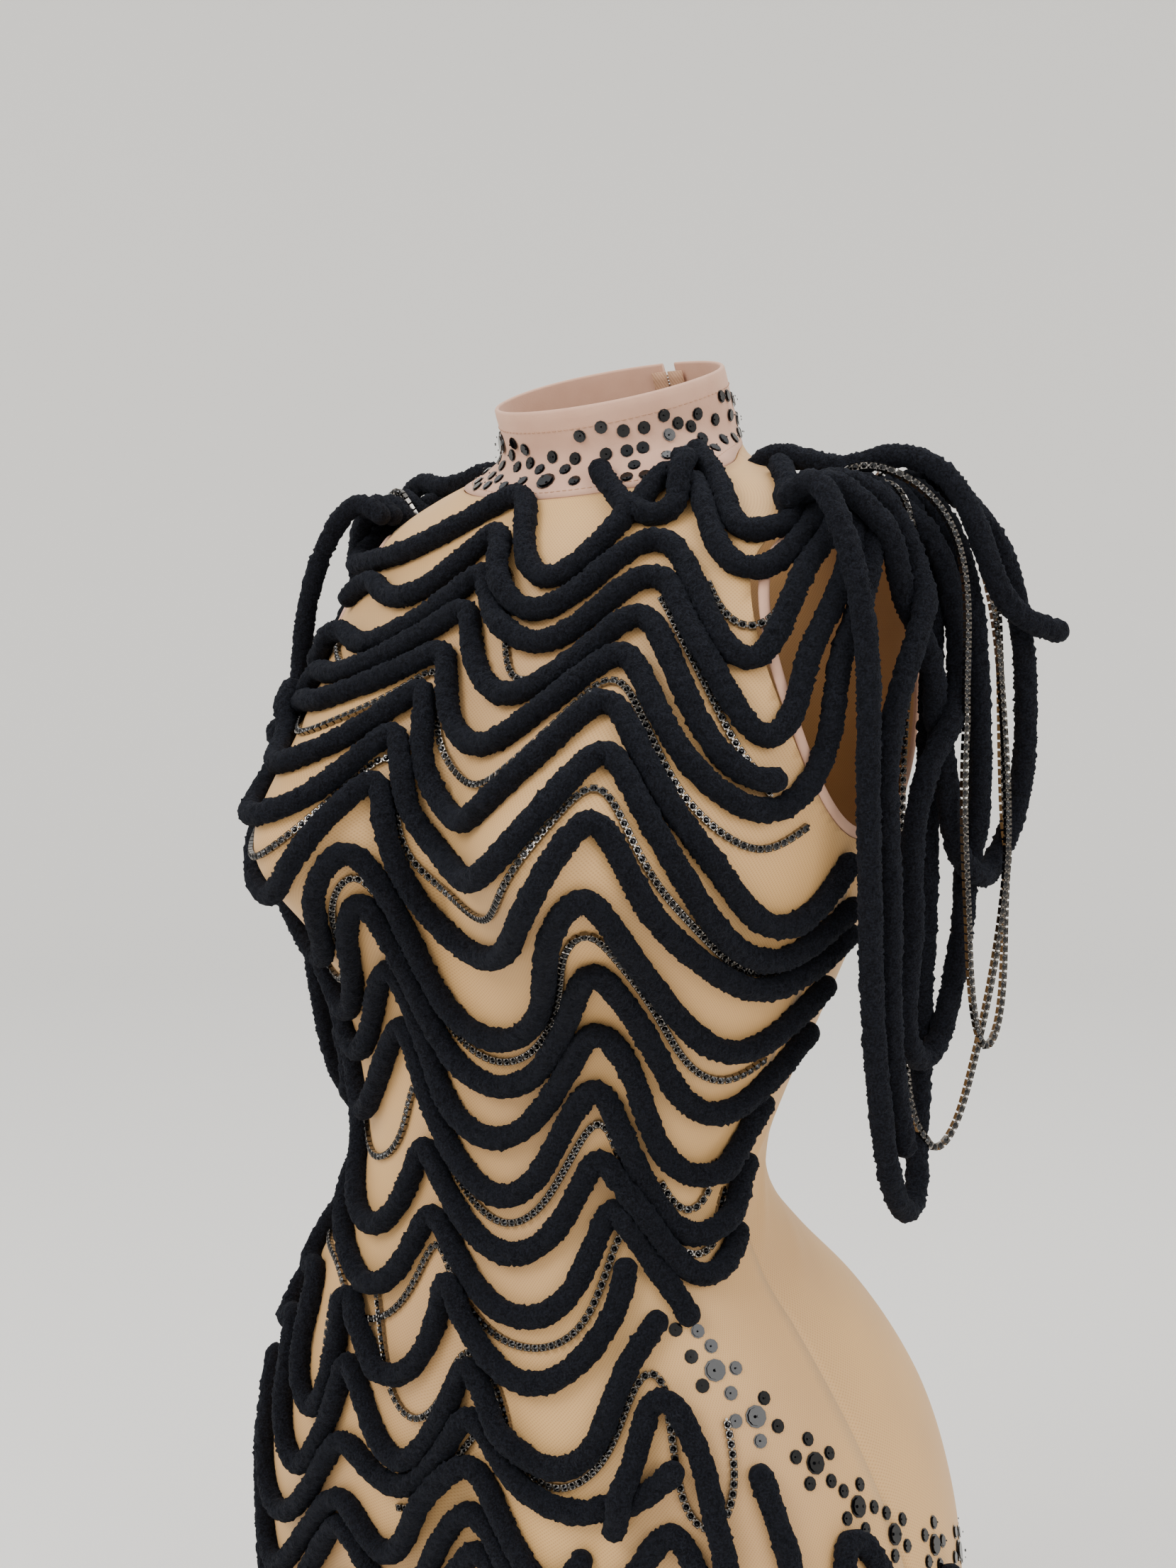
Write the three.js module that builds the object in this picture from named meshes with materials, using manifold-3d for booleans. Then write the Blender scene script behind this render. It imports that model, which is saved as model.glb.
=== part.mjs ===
// Sleeveless stage dress of stretch mesh, covered in rows of plush cord and cup chain,
// with a cord fringe at each shoulder and a zip at the centre back. It keeps the shape it has when worn.
// Millimetres. Z = 0 is the side neck point, +Z up, the wearer faces -Y and the wearer's left is +X.
import * as THREE from 'three';
import { ParametricGeometry } from 'three/addons/geometries/ParametricGeometry.js';
import { mergeVertices } from 'three/addons/utils/BufferGeometryUtils.js';
import Module from 'manifold-3d';

const wasm = await Module();
wasm.setup();

// ---- driving dimensions ----
const bustWidth = 336;            // widest breadth under the arms
const dressLength = 640;          // side neck point down to the hem seam
const fabric = 1.5;               // mesh and its lining together
const seamGap = 0.3;              // clearance between pieces that are sewn to each other
const hemDepth = 14;
const hemThickness = 2.4;
const collarHeight = 40;
const collarThickness = 2;
const collarFrontSeam = -12;      // height of the neck seam at the centre front
const collarSlope = 0.32;         // the seam rises this much for each millimetre towards the back
const armholeHeight = 144;
const armholeDepth = 104;
const armholeCentre = { y: 5, z: -98 };
const bindingDiameter = 5;
const cordDiameter = 7;           // dense body of the plush cord, under its pile
const chainDiameter = 3;
const cordClearance = 0.6;        // least air between two cords
const cordSeat = 3.6;             // least air between a sewn cord and the mesh
const zipBottom = -296;           // height of the zip's bottom stop
const zipGap = 8.4;               // opening between the two back panels along the zip
const tapeWidth = 9;
const tapeThickness = 0.8;
const tapeInset = 2;              // the tape lies this far behind the panels, which are slack over it
const coilWidth = 4.4;
const coilThickness = 2.4;
const sliderLength = 11;
const sliderWall = 1.1;
const slideClearance = 0.35;
const backArcRadius = 420;        // the centre back follows one arc, so the slider runs on a circle
const backArcCentre = { y: -315, z: -120 };
const shoulderInset = 29;         // the shoulder tip lies this far inside the widest breadth
const shoulderTip = bustWidth / 2 - shoulderInset;   // x of the line that the fringe swings about

// ---- the worn shape ----
// Each level: height, half breadth as a part of the bust breadth, front, roundness of the section.
const levels = [
  [75, 0.330, -50, 2], [30, 0.345, -40, 2], [14, 0.357, -32, 2], [6, 0.405, -28, 1.9],
  [0, 0.500, -28, 1.8], [-10, 0.702, -36, 1.6], [-20, 0.833, -44, 1.6], [-32, 0.923, -54, 1.65],
  [-55, 0.988, -68, 1.8], [-100, 1.000, -84, 2.1], [-150, 0.952, -94, 2.3], [-175, 0.917, -97, 2.4],
  [-220, 0.821, -95, 2.4], [-265, 0.726, -93, 2.4], [-300, 0.655, -93, 2.3], [-330, 0.631, -94, 2.2],
  [-365, 0.696, -99, 2.3], [-400, 0.839, -104, 2.4], [-450, 1.000, -109, 2.5], [-500, 1.101, -110, 2.5],
  [-540, 1.137, -106, 2.5], [-600, 1.131, -102, 2.5], [-680, 1.090, -96, 2.5],
];
const sideLine = [[75, 10], [0, 30], [-60, 18], [-150, 10], [-320, -22], [-520, 0], [-680, 0]];
const arcBack = (z) => backArcCentre.y + Math.sqrt(backArcRadius ** 2 - (z - backArcCentre.z) ** 2);
const arcEnd = -300;
const lowBack = [[-290, arcBack(-290)], [arcEnd, arcBack(arcEnd)], [-322, 57], [-345, 63], [-370, 86],
  [-400, 114], [-440, 134], [-490, 138], [-540, 132], [-600, 124], [-680, 110]];
const bust = { x: 84, z: -178, fullness: 58, breadth: 60, above: 62, below: 50 };
const seat = { x: 85, z: -520, fullness: 20, breadth: 60, height: 70 };

// A smooth line through [height, value] pairs, by cubic pieces.
function smoothLine(pairs) {
  const knots = [...pairs].sort((a, b) => a[0] - b[0]);
  const slope = knots.map((k, i) => {
    const before = knots[i - 1];
    const after = knots[i + 1];
    const back = before && (k[1] - before[1]) / (k[0] - before[0]);
    const ahead = after && (after[1] - k[1]) / (after[0] - k[0]);
    if (!before || !after) return before ? back : ahead;
    return (back * (after[0] - k[0]) + ahead * (k[0] - before[0])) / (after[0] - before[0]);
  });
  return (z) => {
    let i = 0;
    while (i < knots.length - 2 && z >= knots[i + 1][0]) i++;
    const h = knots[i + 1][0] - knots[i][0];
    const s = THREE.MathUtils.clamp((z - knots[i][0]) / h, 0, 1);
    return (2 * s ** 3 - 3 * s ** 2 + 1) * knots[i][1] + (s ** 3 - 2 * s ** 2 + s) * h * slope[i]
      + (-2 * s ** 3 + 3 * s ** 2) * knots[i + 1][1] + (s ** 3 - s ** 2) * h * slope[i + 1];
  };
}
const halfBreadth = smoothLine(levels.map((l) => [l[0], l[1] * bustWidth / 2]));
const frontLine = smoothLine(levels.map((l) => [l[0], l[2]]));
const roundness = smoothLine(levels.map((l) => [l[0], l[3]]));
const sideY = smoothLine(sideLine);
const lowBackY = smoothLine(lowBack);
const backY = (z) => (z >= arcEnd ? arcBack(z) : lowBackY(z));

// Point on the mesh: angle in degrees from the centre front, positive to the wearer's left.
function onBody(angle, z) {
  const t = THREE.MathUtils.degToRad(angle - 90);
  const c = Math.cos(t);
  const s = Math.sin(t);
  const power = 2 / roundness(z);
  const x = halfBreadth(z) * Math.sign(c) * Math.abs(c) ** power;
  const front = s < 0;
  const depth = front ? sideY(z) - frontLine(z) : backY(z) - sideY(z);
  let y = sideY(z) + depth * Math.sign(s) * Math.abs(s) ** power;
  const aside = (centre, breadth) => -(((Math.abs(x) - centre) / breadth) ** 2);
  if (front) {
    const height = z > bust.z ? bust.above : bust.below;
    const swell = Math.exp(aside(bust.x, bust.breadth) - ((z - bust.z) / height) ** 2);
    y -= bust.fullness * swell * Math.sqrt(Math.abs(s));
  } else {
    const swell = Math.exp(aside(seat.x, seat.breadth) - ((z - seat.z) / seat.height) ** 2);
    y += seat.fullness * swell * Math.sqrt(Math.abs(s));
  }
  return new THREE.Vector3(x, y, z);
}
function outwards(angle, z) {
  const around = onBody(angle + 1, z).sub(onBody(angle - 1, z));
  const up = onBody(angle, z + 2).sub(onBody(angle, z - 2));
  return around.cross(up).normalize();
}
const offBody = (angle, z, offset) => onBody(angle, z).addScaledVector(outwards(angle, z), offset);

// The angle at which the body has a given depth y at a height, on the wearer's left.
function angleAt(y, z) {
  let low = 1;
  let high = 179;
  for (let i = 0; i < 30; i++) {
    const middle = (low + high) / 2;
    if (onBody(middle, z).y < y) low = middle;
    else high = middle;
  }
  return (low + high) / 2;
}

// ---- solids ----
const material = (color, roughness_, metalness) =>
  new THREE.MeshStandardMaterial({ color, roughness: roughness_, metalness });
const finishes = {
  mesh: material('#cda67f', 0.6, 0),
  collar: material('#c79c84', 0.75, 0),
  binding: material('#c39a78', 0.7, 0),
  plush: material('#12141c', 0.95, 0),
  chain: material('#3a3a40', 0.25, 0.9),
  zipTape: material('#b98f70', 0.8, 0),
  coil: material('#a98468', 0.45, 0),
  metal: material('#9a9aa0', 0.3, 1),
};
const dress = new THREE.Group();
function addPiece(name, geometry, finish) {
  const mesh = new THREE.Mesh(geometry, finish);
  mesh.name = name;
  dress.add(mesh);
}
function toSolid(geometry) {
  const bare = geometry.index ? geometry.clone() : geometry;
  bare.deleteAttribute('normal');
  bare.deleteAttribute('uv');
  const merged = mergeVertices(bare, 1e-3);
  const faces = [];
  for (let i = 0; i < merged.index.count; i += 3) {
    const [a, b, c] = [0, 1, 2].map((k) => merged.index.getX(i + k));
    if (a !== b && b !== c && c !== a) faces.push(a, b, c);
  }
  return new wasm.Manifold(new wasm.Mesh({
    numProp: 3, vertProperties: new Float32Array(merged.attributes.position.array),
    triVerts: new Uint32Array(faces),
  }));
}
function toGeometry(solid) {
  const made = solid.getMesh();
  const geometry = new THREE.BufferGeometry();
  geometry.setAttribute('position', new THREE.BufferAttribute(made.vertProperties, 3));
  geometry.setIndex(new THREE.BufferAttribute(made.triVerts, 1));
  geometry.computeVertexNormals();
  return geometry;
}
function block(x0, x1, y0, y1, z0, z1) {
  const box = new THREE.BoxGeometry(x1 - x0, y1 - y0, z1 - z0);
  return toSolid(box.translate((x0 + x1) / 2, (y0 + y1) / 2, (z0 + z1) / 2));
}

// Everything inside the body surface, grown by an offset, between two heights. The rings lie closer
// where the surface turns quickly: over the shoulders and at the waist.
const ringHeights = [24, 12, 6, 2, -2, -6, -11, -16, -22, -29, -38, -52, -75, -105, -135, -165, -195,
  -225, -255, -285, -305, -322, -338, -356, -380, -410, -450, -490, -530, -580];
const bodySides = 36;
function bodySolid(offset, top, bottom) {
  const heights = [bottom, ...ringHeights.filter((z) => z < top - 3 && z > bottom + 3).reverse(), top];
  const around = bodySides;
  const last = heights.length + 1;
  const surface = (u, v, target) => {
    const ring = Math.round(v * last);
    const z = heights[THREE.MathUtils.clamp(ring - 1, 0, heights.length - 1)];
    if (ring === 0 || ring === last) target.set(0, 0, z);
    else target.copy(offBody((Math.round(u * around) % around) * (360 / around) - 180, z, offset));
  };
  return toSolid(new ParametricGeometry(surface, around, last));
}
// A closed ring of constant section that follows a list of frames.
function ringGeometry(count, section, place) {
  const surface = (u, v, target) => {
    const corner = section[Math.round(v * section.length) % section.length];
    target.copy(place(Math.round(u * count) % count, corner));
  };
  return new ParametricGeometry(surface, count, section.length);
}
const bigReach = 400;             // past every edge of the dress
const neckPlane = (y) => collarFrontSeam + collarSlope * (y - frontLine(0));
// Wedge below a plane that is parallel to the neck seam and this far above it.
function belowNeck(lift) {
  const outline = new THREE.Shape([
    new THREE.Vector2(-bigReach, -2 * bigReach), new THREE.Vector2(bigReach, -2 * bigReach),
    new THREE.Vector2(bigReach, neckPlane(bigReach) + lift),
    new THREE.Vector2(-bigReach, neckPlane(-bigReach) + lift)]);
  return extrudeAcross(outline, -bigReach, bigReach);
}
// Extrudes an outline drawn in (y, z) from one x to another.
function extrudeAcross(outline, x0, x1) {
  const options = { depth: x1 - x0, bevelEnabled: false, curveSegments: 12 };
  const geometry = new THREE.ExtrudeGeometry(outline, options);
  geometry.applyMatrix4(new THREE.Matrix4().set(0, 0, 1, x0, 1, 0, 0, 0, 0, 1, 0, 0, 0, 0, 0, 1));
  return toSolid(geometry);
}

// ---- panels ----
const bodyTop = 74;               // above the collar
const chestTop = 40;              // above the neck seam
const beyond = 5;                 // a cutting solid runs this far past what it cuts
const outside = bodySolid(0, chestTop, -dressLength);
const inside = bodySolid(-fabric, chestTop + beyond, -dressLength - beyond);
const armholeShape = new THREE.Shape();
const [armholeAcross, armholeUp] = [armholeDepth / 2, armholeHeight / 2];
armholeShape.absellipse(armholeCentre.y, armholeCentre.z, armholeAcross, armholeUp, 0, 2 * Math.PI);
const armholeInner = 95;          // the cut stays outboard of this
const armholeLeft = extrudeAcross(armholeShape, armholeInner, bigReach);
const armholeRight = extrudeAcross(armholeShape, -bigReach, -armholeInner);
const hollow = outside.subtract(inside).intersect(belowNeck(-seamGap));
const shell = hollow.subtract(armholeLeft).subtract(armholeRight);

// The side and shoulder seams follow the widest line of the body.
function inFrontOfSeam(shift) {
  const steps = 29;
  const [top, run] = [bodyTop + beyond, dressLength + bodyTop + 4 * beyond];
  const heights = Array.from({ length: steps + 1 }, (_, i) => top - i * run / steps);
  const outline = new THREE.Shape([new THREE.Vector2(-bigReach, heights[0]),
    new THREE.Vector2(-bigReach, heights.at(-1)),
    ...heights.toReversed().map((z) => new THREE.Vector2(sideY(z) + shift, z))]);
  return extrudeAcross(outline, -bigReach, bigReach);
}
addPiece('front_panel', toGeometry(shell.intersect(inFrontOfSeam(-seamGap / 2))), finishes.mesh);
const backShell = shell.subtract(inFrontOfSeam(seamGap / 2));
const slotRun = 6;                // the slot ends this far below the zip's stop
const zipSlot = block(-zipGap / 2, zipGap / 2, 0, bigReach, zipBottom - slotRun, bigReach);
const centreSeam = block(-seamGap / 2, seamGap / 2, 0, bigReach, -2 * bigReach, zipBottom);
const openBack = backShell.subtract(zipSlot).subtract(centreSeam);
const leftHalf = block(0, bigReach, -bigReach, bigReach, -2 * bigReach, bigReach);
addPiece('back_panel_left', toGeometry(openBack.intersect(leftHalf)), finishes.mesh);
addPiece('back_panel_right', toGeometry(openBack.subtract(leftHalf)), finishes.mesh);

// ---- collar, hem and armhole bindings ----
const collarFoot = -40;           // below the whole neck seam
const neckOutside = bodySolid(collarThickness - fabric, bodyTop, collarFoot);
const neckInside = bodySolid(-fabric, bodyTop + beyond, collarFoot - beyond);
const neckBand = belowNeck(collarHeight).subtract(belowNeck(0));
const collar = neckOutside.subtract(neckInside).intersect(neckBand).subtract(zipSlot);
addPiece('collar_band', toGeometry(collar), finishes.collar);

const hemSection = [[-fabric, 0], [-fabric, -hemDepth], [hemThickness - fabric, -hemDepth],
  [hemThickness - fabric, 0]];
const hemRing = ringGeometry(bodySides, hemSection, (i, [offset, drop]) => {
  const z = -dressLength - seamGap + drop;
  return offBody(i * (360 / bodySides) - 180, z, offset).setZ(z);
});
addPiece('hem_band', toGeometry(toSolid(hemRing)), finishes.binding);

function armholeBinding(side) {
  const count = 28;
  const reach = bindingDiameter / 2 + seamGap;
  const centreLine = Array.from({ length: count }, (_, i) => {
    const t = (i / count) * 2 * Math.PI;
    const y = armholeCentre.y + (armholeDepth / 2 - reach) * Math.cos(t);
    const z = armholeCentre.z + (armholeHeight / 2 - reach) * Math.sin(t);
    return offBody(angleAt(y, z), z, -fabric / 2).multiply(new THREE.Vector3(side, 1, 1));
  });
  const section = Array.from({ length: 6 }, (_, k) => k * Math.PI / 3);
  const ring = ringGeometry(count, section, (i, turn) => {
    const centre = centreLine[i];
    const along = centreLine[(i + 1) % count].clone().sub(centreLine[(i + count - 1) % count]).normalize();
    const inwards = new THREE.Vector3(0, armholeCentre.y - centre.y, armholeCentre.z - centre.z);
    inwards.addScaledVector(along, -inwards.dot(along)).normalize();
    const across = inwards.clone().cross(along);
    return centre.clone().addScaledVector(inwards, Math.cos(turn) * bindingDiameter / 2)
      .addScaledVector(across, Math.sin(turn) * bindingDiameter / 2);
  });
  const solid = toSolid(ring);
  return toGeometry(solid.volume() < 0 ? toSolid(flipped(ring)) : solid);
}
function flipped(geometry) {
  const turned = geometry.clone();
  for (let i = 0; i < turned.index.count; i += 3) {
    const first = turned.index.getX(i);
    turned.index.setX(i, turned.index.getX(i + 1));
    turned.index.setX(i + 1, first);
  }
  return turned;
}
addPiece('left_armhole_binding', armholeBinding(1), finishes.binding);
addPiece('right_armhole_binding', armholeBinding(-1), finishes.binding);

// ---- zip ----
// Band along the centre back arc, between two radii and two heights.
function arcBand(inner, outer, low, high, x0, x1) {
  const angleOf = (z) => Math.asin((z - backArcCentre.z) / backArcRadius);
  const outline = new THREE.Shape();
  outline.absarc(backArcCentre.y, backArcCentre.z, outer, angleOf(low), angleOf(high), false);
  outline.absarc(backArcCentre.y, backArcCentre.z, inner, angleOf(high), angleOf(low), true);
  return toGeometry(extrudeAcross(outline, x0, x1));
}
const zipTop = neckPlane(arcBack(chestTop)) + collarHeight - 4;
const coilSeat = 0.2;             // air between the tapes and the coil
const tapeOuter = backArcRadius - fabric - tapeInset;
const tapeInner = tapeOuter - tapeThickness;
const coilInner = tapeOuter + coilSeat;
const coilOuter = coilInner + coilThickness;
const tapeEdge = 0.6;             // half the slit between the two tapes
const tapeFar = tapeEdge + tapeWidth;
const tapeFoot = zipBottom - 8;
const coilTop = zipTop - 2;
const leftTape = arcBand(tapeInner, tapeOuter, tapeFoot, zipTop, tapeEdge, tapeFar);
const rightTape = arcBand(tapeInner, tapeOuter, tapeFoot, zipTop, -tapeFar, -tapeEdge);
addPiece('zip_tape_left', leftTape, finishes.zipTape);
addPiece('zip_tape_right', rightTape, finishes.zipTape);
const stopLength = 4.6;
const coilFoot = zipBottom + stopLength + seamGap;
const coil = arcBand(coilInner, coilOuter, coilFoot, coilTop, -coilWidth / 2, coilWidth / 2);
addPiece('zip_coil', coil, finishes.coil);

// Places a piece drawn in (x, down along the zip, out) axes on the centre back at a height.
function onArc(geometry, z) {
  const angle = Math.asin((z - backArcCentre.z) / backArcRadius);
  const out = new THREE.Vector3(0, Math.cos(angle), Math.sin(angle));
  const along = new THREE.Vector3(0, Math.sin(angle), -Math.cos(angle));
  const foot = new THREE.Vector3(0, backArcCentre.y, backArcCentre.z).addScaledVector(out, backArcRadius);
  const frame = new THREE.Matrix4().makeBasis(new THREE.Vector3(1, 0, 0), along, out).setPosition(foot);
  return geometry.applyMatrix4(frame);
}
const stopWall = 0.6;             // the stop is clamped round the coil's end
const stopHeight = coilThickness + stopWall;
const stopCentre = coilInner - backArcRadius + stopHeight / 2;
const stop = new THREE.BoxGeometry(coilWidth + 2 * stopWall, stopLength, stopHeight);
stop.translate(0, 0, stopCentre);
addPiece('zip_bottom_stop', onArc(stop, zipBottom + stopLength / 2), finishes.metal);
const sliderRest = 14;            // the closed slider stops this far below the top of the tapes
const sliderHeight = zipTop - sliderRest;
// Extrudes an outline drawn in (along, out) across x, centred.
function slabAcross(outline, width) {
  const options = { depth: width, bevelEnabled: false, curveSegments: 8 };
  const turned = new THREE.Matrix4().set(0, 0, 1, -width / 2, 1, 0, 0, 0, 0, 1, 0, 0, 0, 0, 0, 1);
  return new THREE.ExtrudeGeometry(outline, options).applyMatrix4(turned);
}
const plateBottom = coilOuter - backArcRadius + slideClearance;
const plateTop = plateBottom + sliderWall;
const flangeInner = coilWidth / 2 + slideClearance;
const flangeOuter = zipGap / 2 - slideClearance;
const flangeFoot = coilInner - backArcRadius + slideClearance;
const eyeRadius = 1.1;
const eyeWall = 0.9;
const eyeHeight = plateTop + eyeRadius + 0.7;
const channelDepth = plateBottom - flangeFoot + 2;
const channel = new THREE.BoxGeometry(2 * flangeInner, sliderLength + 2, channelDepth);
channel.translate(0, 0, plateBottom - channelDepth / 2);
const sliderBody = new THREE.BoxGeometry(2 * flangeOuter, sliderLength, plateTop - flangeFoot);
sliderBody.translate(0, 0, (plateTop + flangeFoot) / 2);
const archFoot = { half: 3.6, z: plateTop - 0.4 };
const arch = new THREE.Shape([new THREE.Vector2(-archFoot.half, archFoot.z),
  new THREE.Vector2(archFoot.half, archFoot.z)]);
arch.absarc(0, eyeHeight, eyeRadius + eyeWall, 0, Math.PI, false);
const archHole = new THREE.Path();
archHole.absarc(0, eyeHeight, eyeRadius, 0, 2 * Math.PI, true);
arch.holes.push(archHole);
const archWidth = 1.8;
const slider = toSolid(sliderBody).subtract(toSolid(channel)).add(toSolid(slabAcross(arch, archWidth)));
addPiece('zip_slider', onArc(toGeometry(slider), sliderHeight), finishes.metal);

// The pull tab hangs from a cross bar that runs through the slider's arch.
const tabLength = 26;
const tabWidth = 6.4;
const tabThickness = 1;
const tabBar = 1;
const tabSide = (tabWidth - archWidth) / 2 - 2 * slideClearance;
const tabWindow = 3.4;
const tabHalf = tabWidth / 2;
const tabCorner = { x: 2, z: 3 };
const outlineOf = (pairs) => pairs.map(([x, z]) => new THREE.Vector2(x, z));
const tab = new THREE.Shape(outlineOf([[-tabHalf, -tabBar / 2], [tabHalf, -tabBar / 2],
  [tabHalf, tabLength - tabCorner.z], [tabHalf - tabCorner.x, tabLength],
  [-tabHalf + tabCorner.x, tabLength], [-tabHalf, tabLength - tabCorner.z]]));
const windowHalf = tabHalf - tabSide;
const windowEnd = tabBar / 2 + tabWindow;
tab.holes.push(new THREE.Path(outlineOf([[-windowHalf, tabBar / 2], [-windowHalf, windowEnd],
  [windowHalf, windowEnd], [windowHalf, tabBar / 2]])));
const tabGeometry = new THREE.ExtrudeGeometry(tab, { depth: tabThickness, bevelEnabled: false })
  .translate(0, 0, eyeHeight - tabThickness / 2);
addPiece('zip_pull_tab', onArc(tabGeometry, sliderHeight), finishes.metal);

// ---- cords and chains ----
// A point of a sewn strand: it keeps its angle and height on the body, and a lift off the mesh.
function sewnPoint(angle, z, radius) {
  const point = { angle, z, lift: 0, at: new THREE.Vector3() };
  const settle = () => point.at.copy(offBody(point.angle, point.z, radius + cordSeat + point.lift));
  point.move = (step) => {
    const around = onBody(point.angle + 1, point.z).sub(onBody(point.angle - 1, point.z)).divideScalar(2);
    const up = onBody(point.angle, point.z + 1).sub(onBody(point.angle, point.z - 1)).divideScalar(2);
    point.angle += step.dot(around) / around.lengthSq();
    point.z += step.dot(up) / up.lengthSq();
    point.lift = Math.max(0, point.lift + step.dot(outwards(point.angle, point.z)));
    settle();
  };
  settle();
  return point;
}
const freePoint = (x, y, z, fixed) => {
  const at = new THREE.Vector3(x, y, z);
  return { at, move: (step) => { if (!fixed) at.add(step); } };
};
const strands = [];
function sewn(name, points, diameter, finish) {
  const placed = points.map(([angle, drop]) => sewnPoint(angle, -drop, diameter / 2));
  strands.push({ name, radius: diameter / 2, finish, points: placed });
}
function hanging(name, points, diameter, finish) {
  const last = points.length - 1;
  const placed = points.map(([x, y, z], i) => freePoint(x, y, z, i === 0 || i === last));
  strands.push({ name, radius: diameter / 2, finish, points: placed });
}

// Rows of plush cord over the front, from the top down, as [angle, drop below the neck point].
// Each row hangs in swags between its peaks. `middle` runs from beyond the wearer's right bust to the
// peak over the left one and `side` goes on from there to the wearer's left. The wearer's right repeats it.
const mirrorShift = 20;
const onTheRight = (side) => side.map(([angle, drop]) => [-angle - mirrorShift, drop]).reverse();
const shoulderRows = [
  [[-88, 12], [-80, 30], [-70, 42], [-60, 47], [-45, 46], [-30, 42], [-15, 26], [-3, 11], [4, 25],
    [7, 45], [13, 60], [19, 52], [25, 33], [34, 12], [41, 4], [42, 26], [42, 40], [47, 56], [54, 52],
    [59, 40], [66, 24], [72, 12]],
  [[-46, 66], [-41, 56], [-36, 52], [-30, 62], [-20, 65], [-11, 50], [-3, 28], [0, 42], [3, 60],
    [10, 73], [18, 66], [25, 48], [33, 34], [38, 52], [41, 75], [46, 91], [51, 96], [54, 82], [56, 62],
    [61, 42], [69, 28]],
  [[-50, 98], [-44, 88], [-38, 76], [-32, 84], [-24, 88], [-15, 78], [-7, 62], [0, 45], [2, 62],
    [7, 80], [14, 87], [20, 79], [26, 62], [33, 50], [37, 66], [42, 88], [49, 110], [56, 128],
    [61, 112], [60, 90], [65, 66], [70, 42], [74, 22]],
  [[-54, 126], [-48, 114], [-42, 96], [-36, 101], [-28, 101], [-18, 90], [-9, 76], [-2, 62], [-1, 80],
    [2, 97], [8, 109], [14, 107], [20, 94], [26, 78], [31, 66], [35, 84], [40, 102], [45, 120],
    [53, 138], [62, 142]],
  [[-62, 150], [-54, 136], [-47, 120], [-40, 112], [-31, 116], [-20, 106], [-11, 95], [-4, 82],
    [-4, 98], [-2, 116], [4, 130], [12, 128], [18, 113], [24, 96], [29, 83], [34, 102], [39, 118],
    [45, 134], [54, 149], [63, 155], [69, 140], [69, 115], [67, 92], [72, 60], [77, 38], [80, 23]],
];
const torsoRows = [
  { middle: [[-50, 106], [-43, 130], [-29, 145], [-18, 131], [-11, 115], [-5, 99], [-4, 118], [-4, 138],
    [2, 158], [10, 162], [17, 150], [22, 131], [29, 103]],
  side: [[34, 120], [41, 139], [48, 158], [56, 174], [63, 192], [72, 205], [80, 203], [84, 186],
    [86, 174]] },
  { middle: [[-52, 124], [-43, 155], [-28, 167], [-18, 156], [-13, 138], [-8, 119], [-7, 138], [-4, 162],
    [4, 179], [14, 183], [23, 176], [28, 150], [33, 124]],
  side: [[39, 144], [46, 164], [53, 184], [60, 203], [68, 217], [77, 221], [86, 211], [92, 197]] },
  { middle: [[-54, 148], [-44, 185], [-29, 200], [-20, 186], [-14, 162], [-8, 140], [-6, 160], [-4, 188],
    [0, 211], [8, 221], [18, 213], [27, 193], [32, 170], [36, 150]],
  side: [[41, 170], [45, 184], [49, 198], [56, 213], [65, 227], [76, 234], [88, 225], [96, 210]] },
  { middle: [[-58, 176], [-50, 215], [-38, 236], [-25, 222], [-18, 196], [-10, 171], [-7, 195], [-5, 228],
    [0, 254], [9, 263], [19, 250], [27, 216], [32, 196], [37, 178]],
  side: [[42, 200], [48, 228], [57, 251], [70, 263], [84, 256], [96, 234]] },
  { middle: [[-60, 208], [-50, 250], [-38, 267], [-26, 248], [-18, 220], [-10, 193], [-7, 220], [-5, 252],
    [0, 276], [9, 285], [18, 277], [26, 250], [31, 230], [36, 213]],
  side: [[41, 234], [49, 260], [59, 284], [73, 293], [87, 281], [98, 256]] },
  { middle: [[-62, 238], [-50, 276], [-37, 286], [-26, 272], [-18, 248], [-10, 226], [-7, 250], [-5, 282],
    [0, 302], [9, 310], [18, 301], [26, 273], [33, 243]],
  side: [[40, 258], [49, 287], [58, 312], [71, 323], [83, 315], [91, 286]] },
  { middle: [[-66, 270], [-56, 302], [-44, 318], [-30, 300], [-19, 276], [-10, 254], [-8, 278], [-4, 308],
    [4, 328], [14, 337], [22, 325], [29, 292], [35, 270]],
  side: [[42, 296], [50, 325], [60, 345], [72, 351], [83, 340], [91, 314]] },
  { middle: [[-68, 306], [-58, 332], [-44, 352], [-30, 366], [-20, 362], [-14, 340], [-9, 309], [-4, 330],
    [4, 350], [14, 361], [24, 354], [32, 335], [40, 302]],
  side: [[47, 318], [54, 343], [64, 366], [76, 364], [85, 344]] },
  { middle: [[-66, 342], [-52, 366], [-40, 372], [-29, 385], [-17, 393], [-10, 374], [-5, 340], [0, 360],
    [6, 378], [16, 386], [27, 379], [36, 356], [46, 324]],
  side: [[52, 342], [57, 362], [59, 382]] },
];
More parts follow.
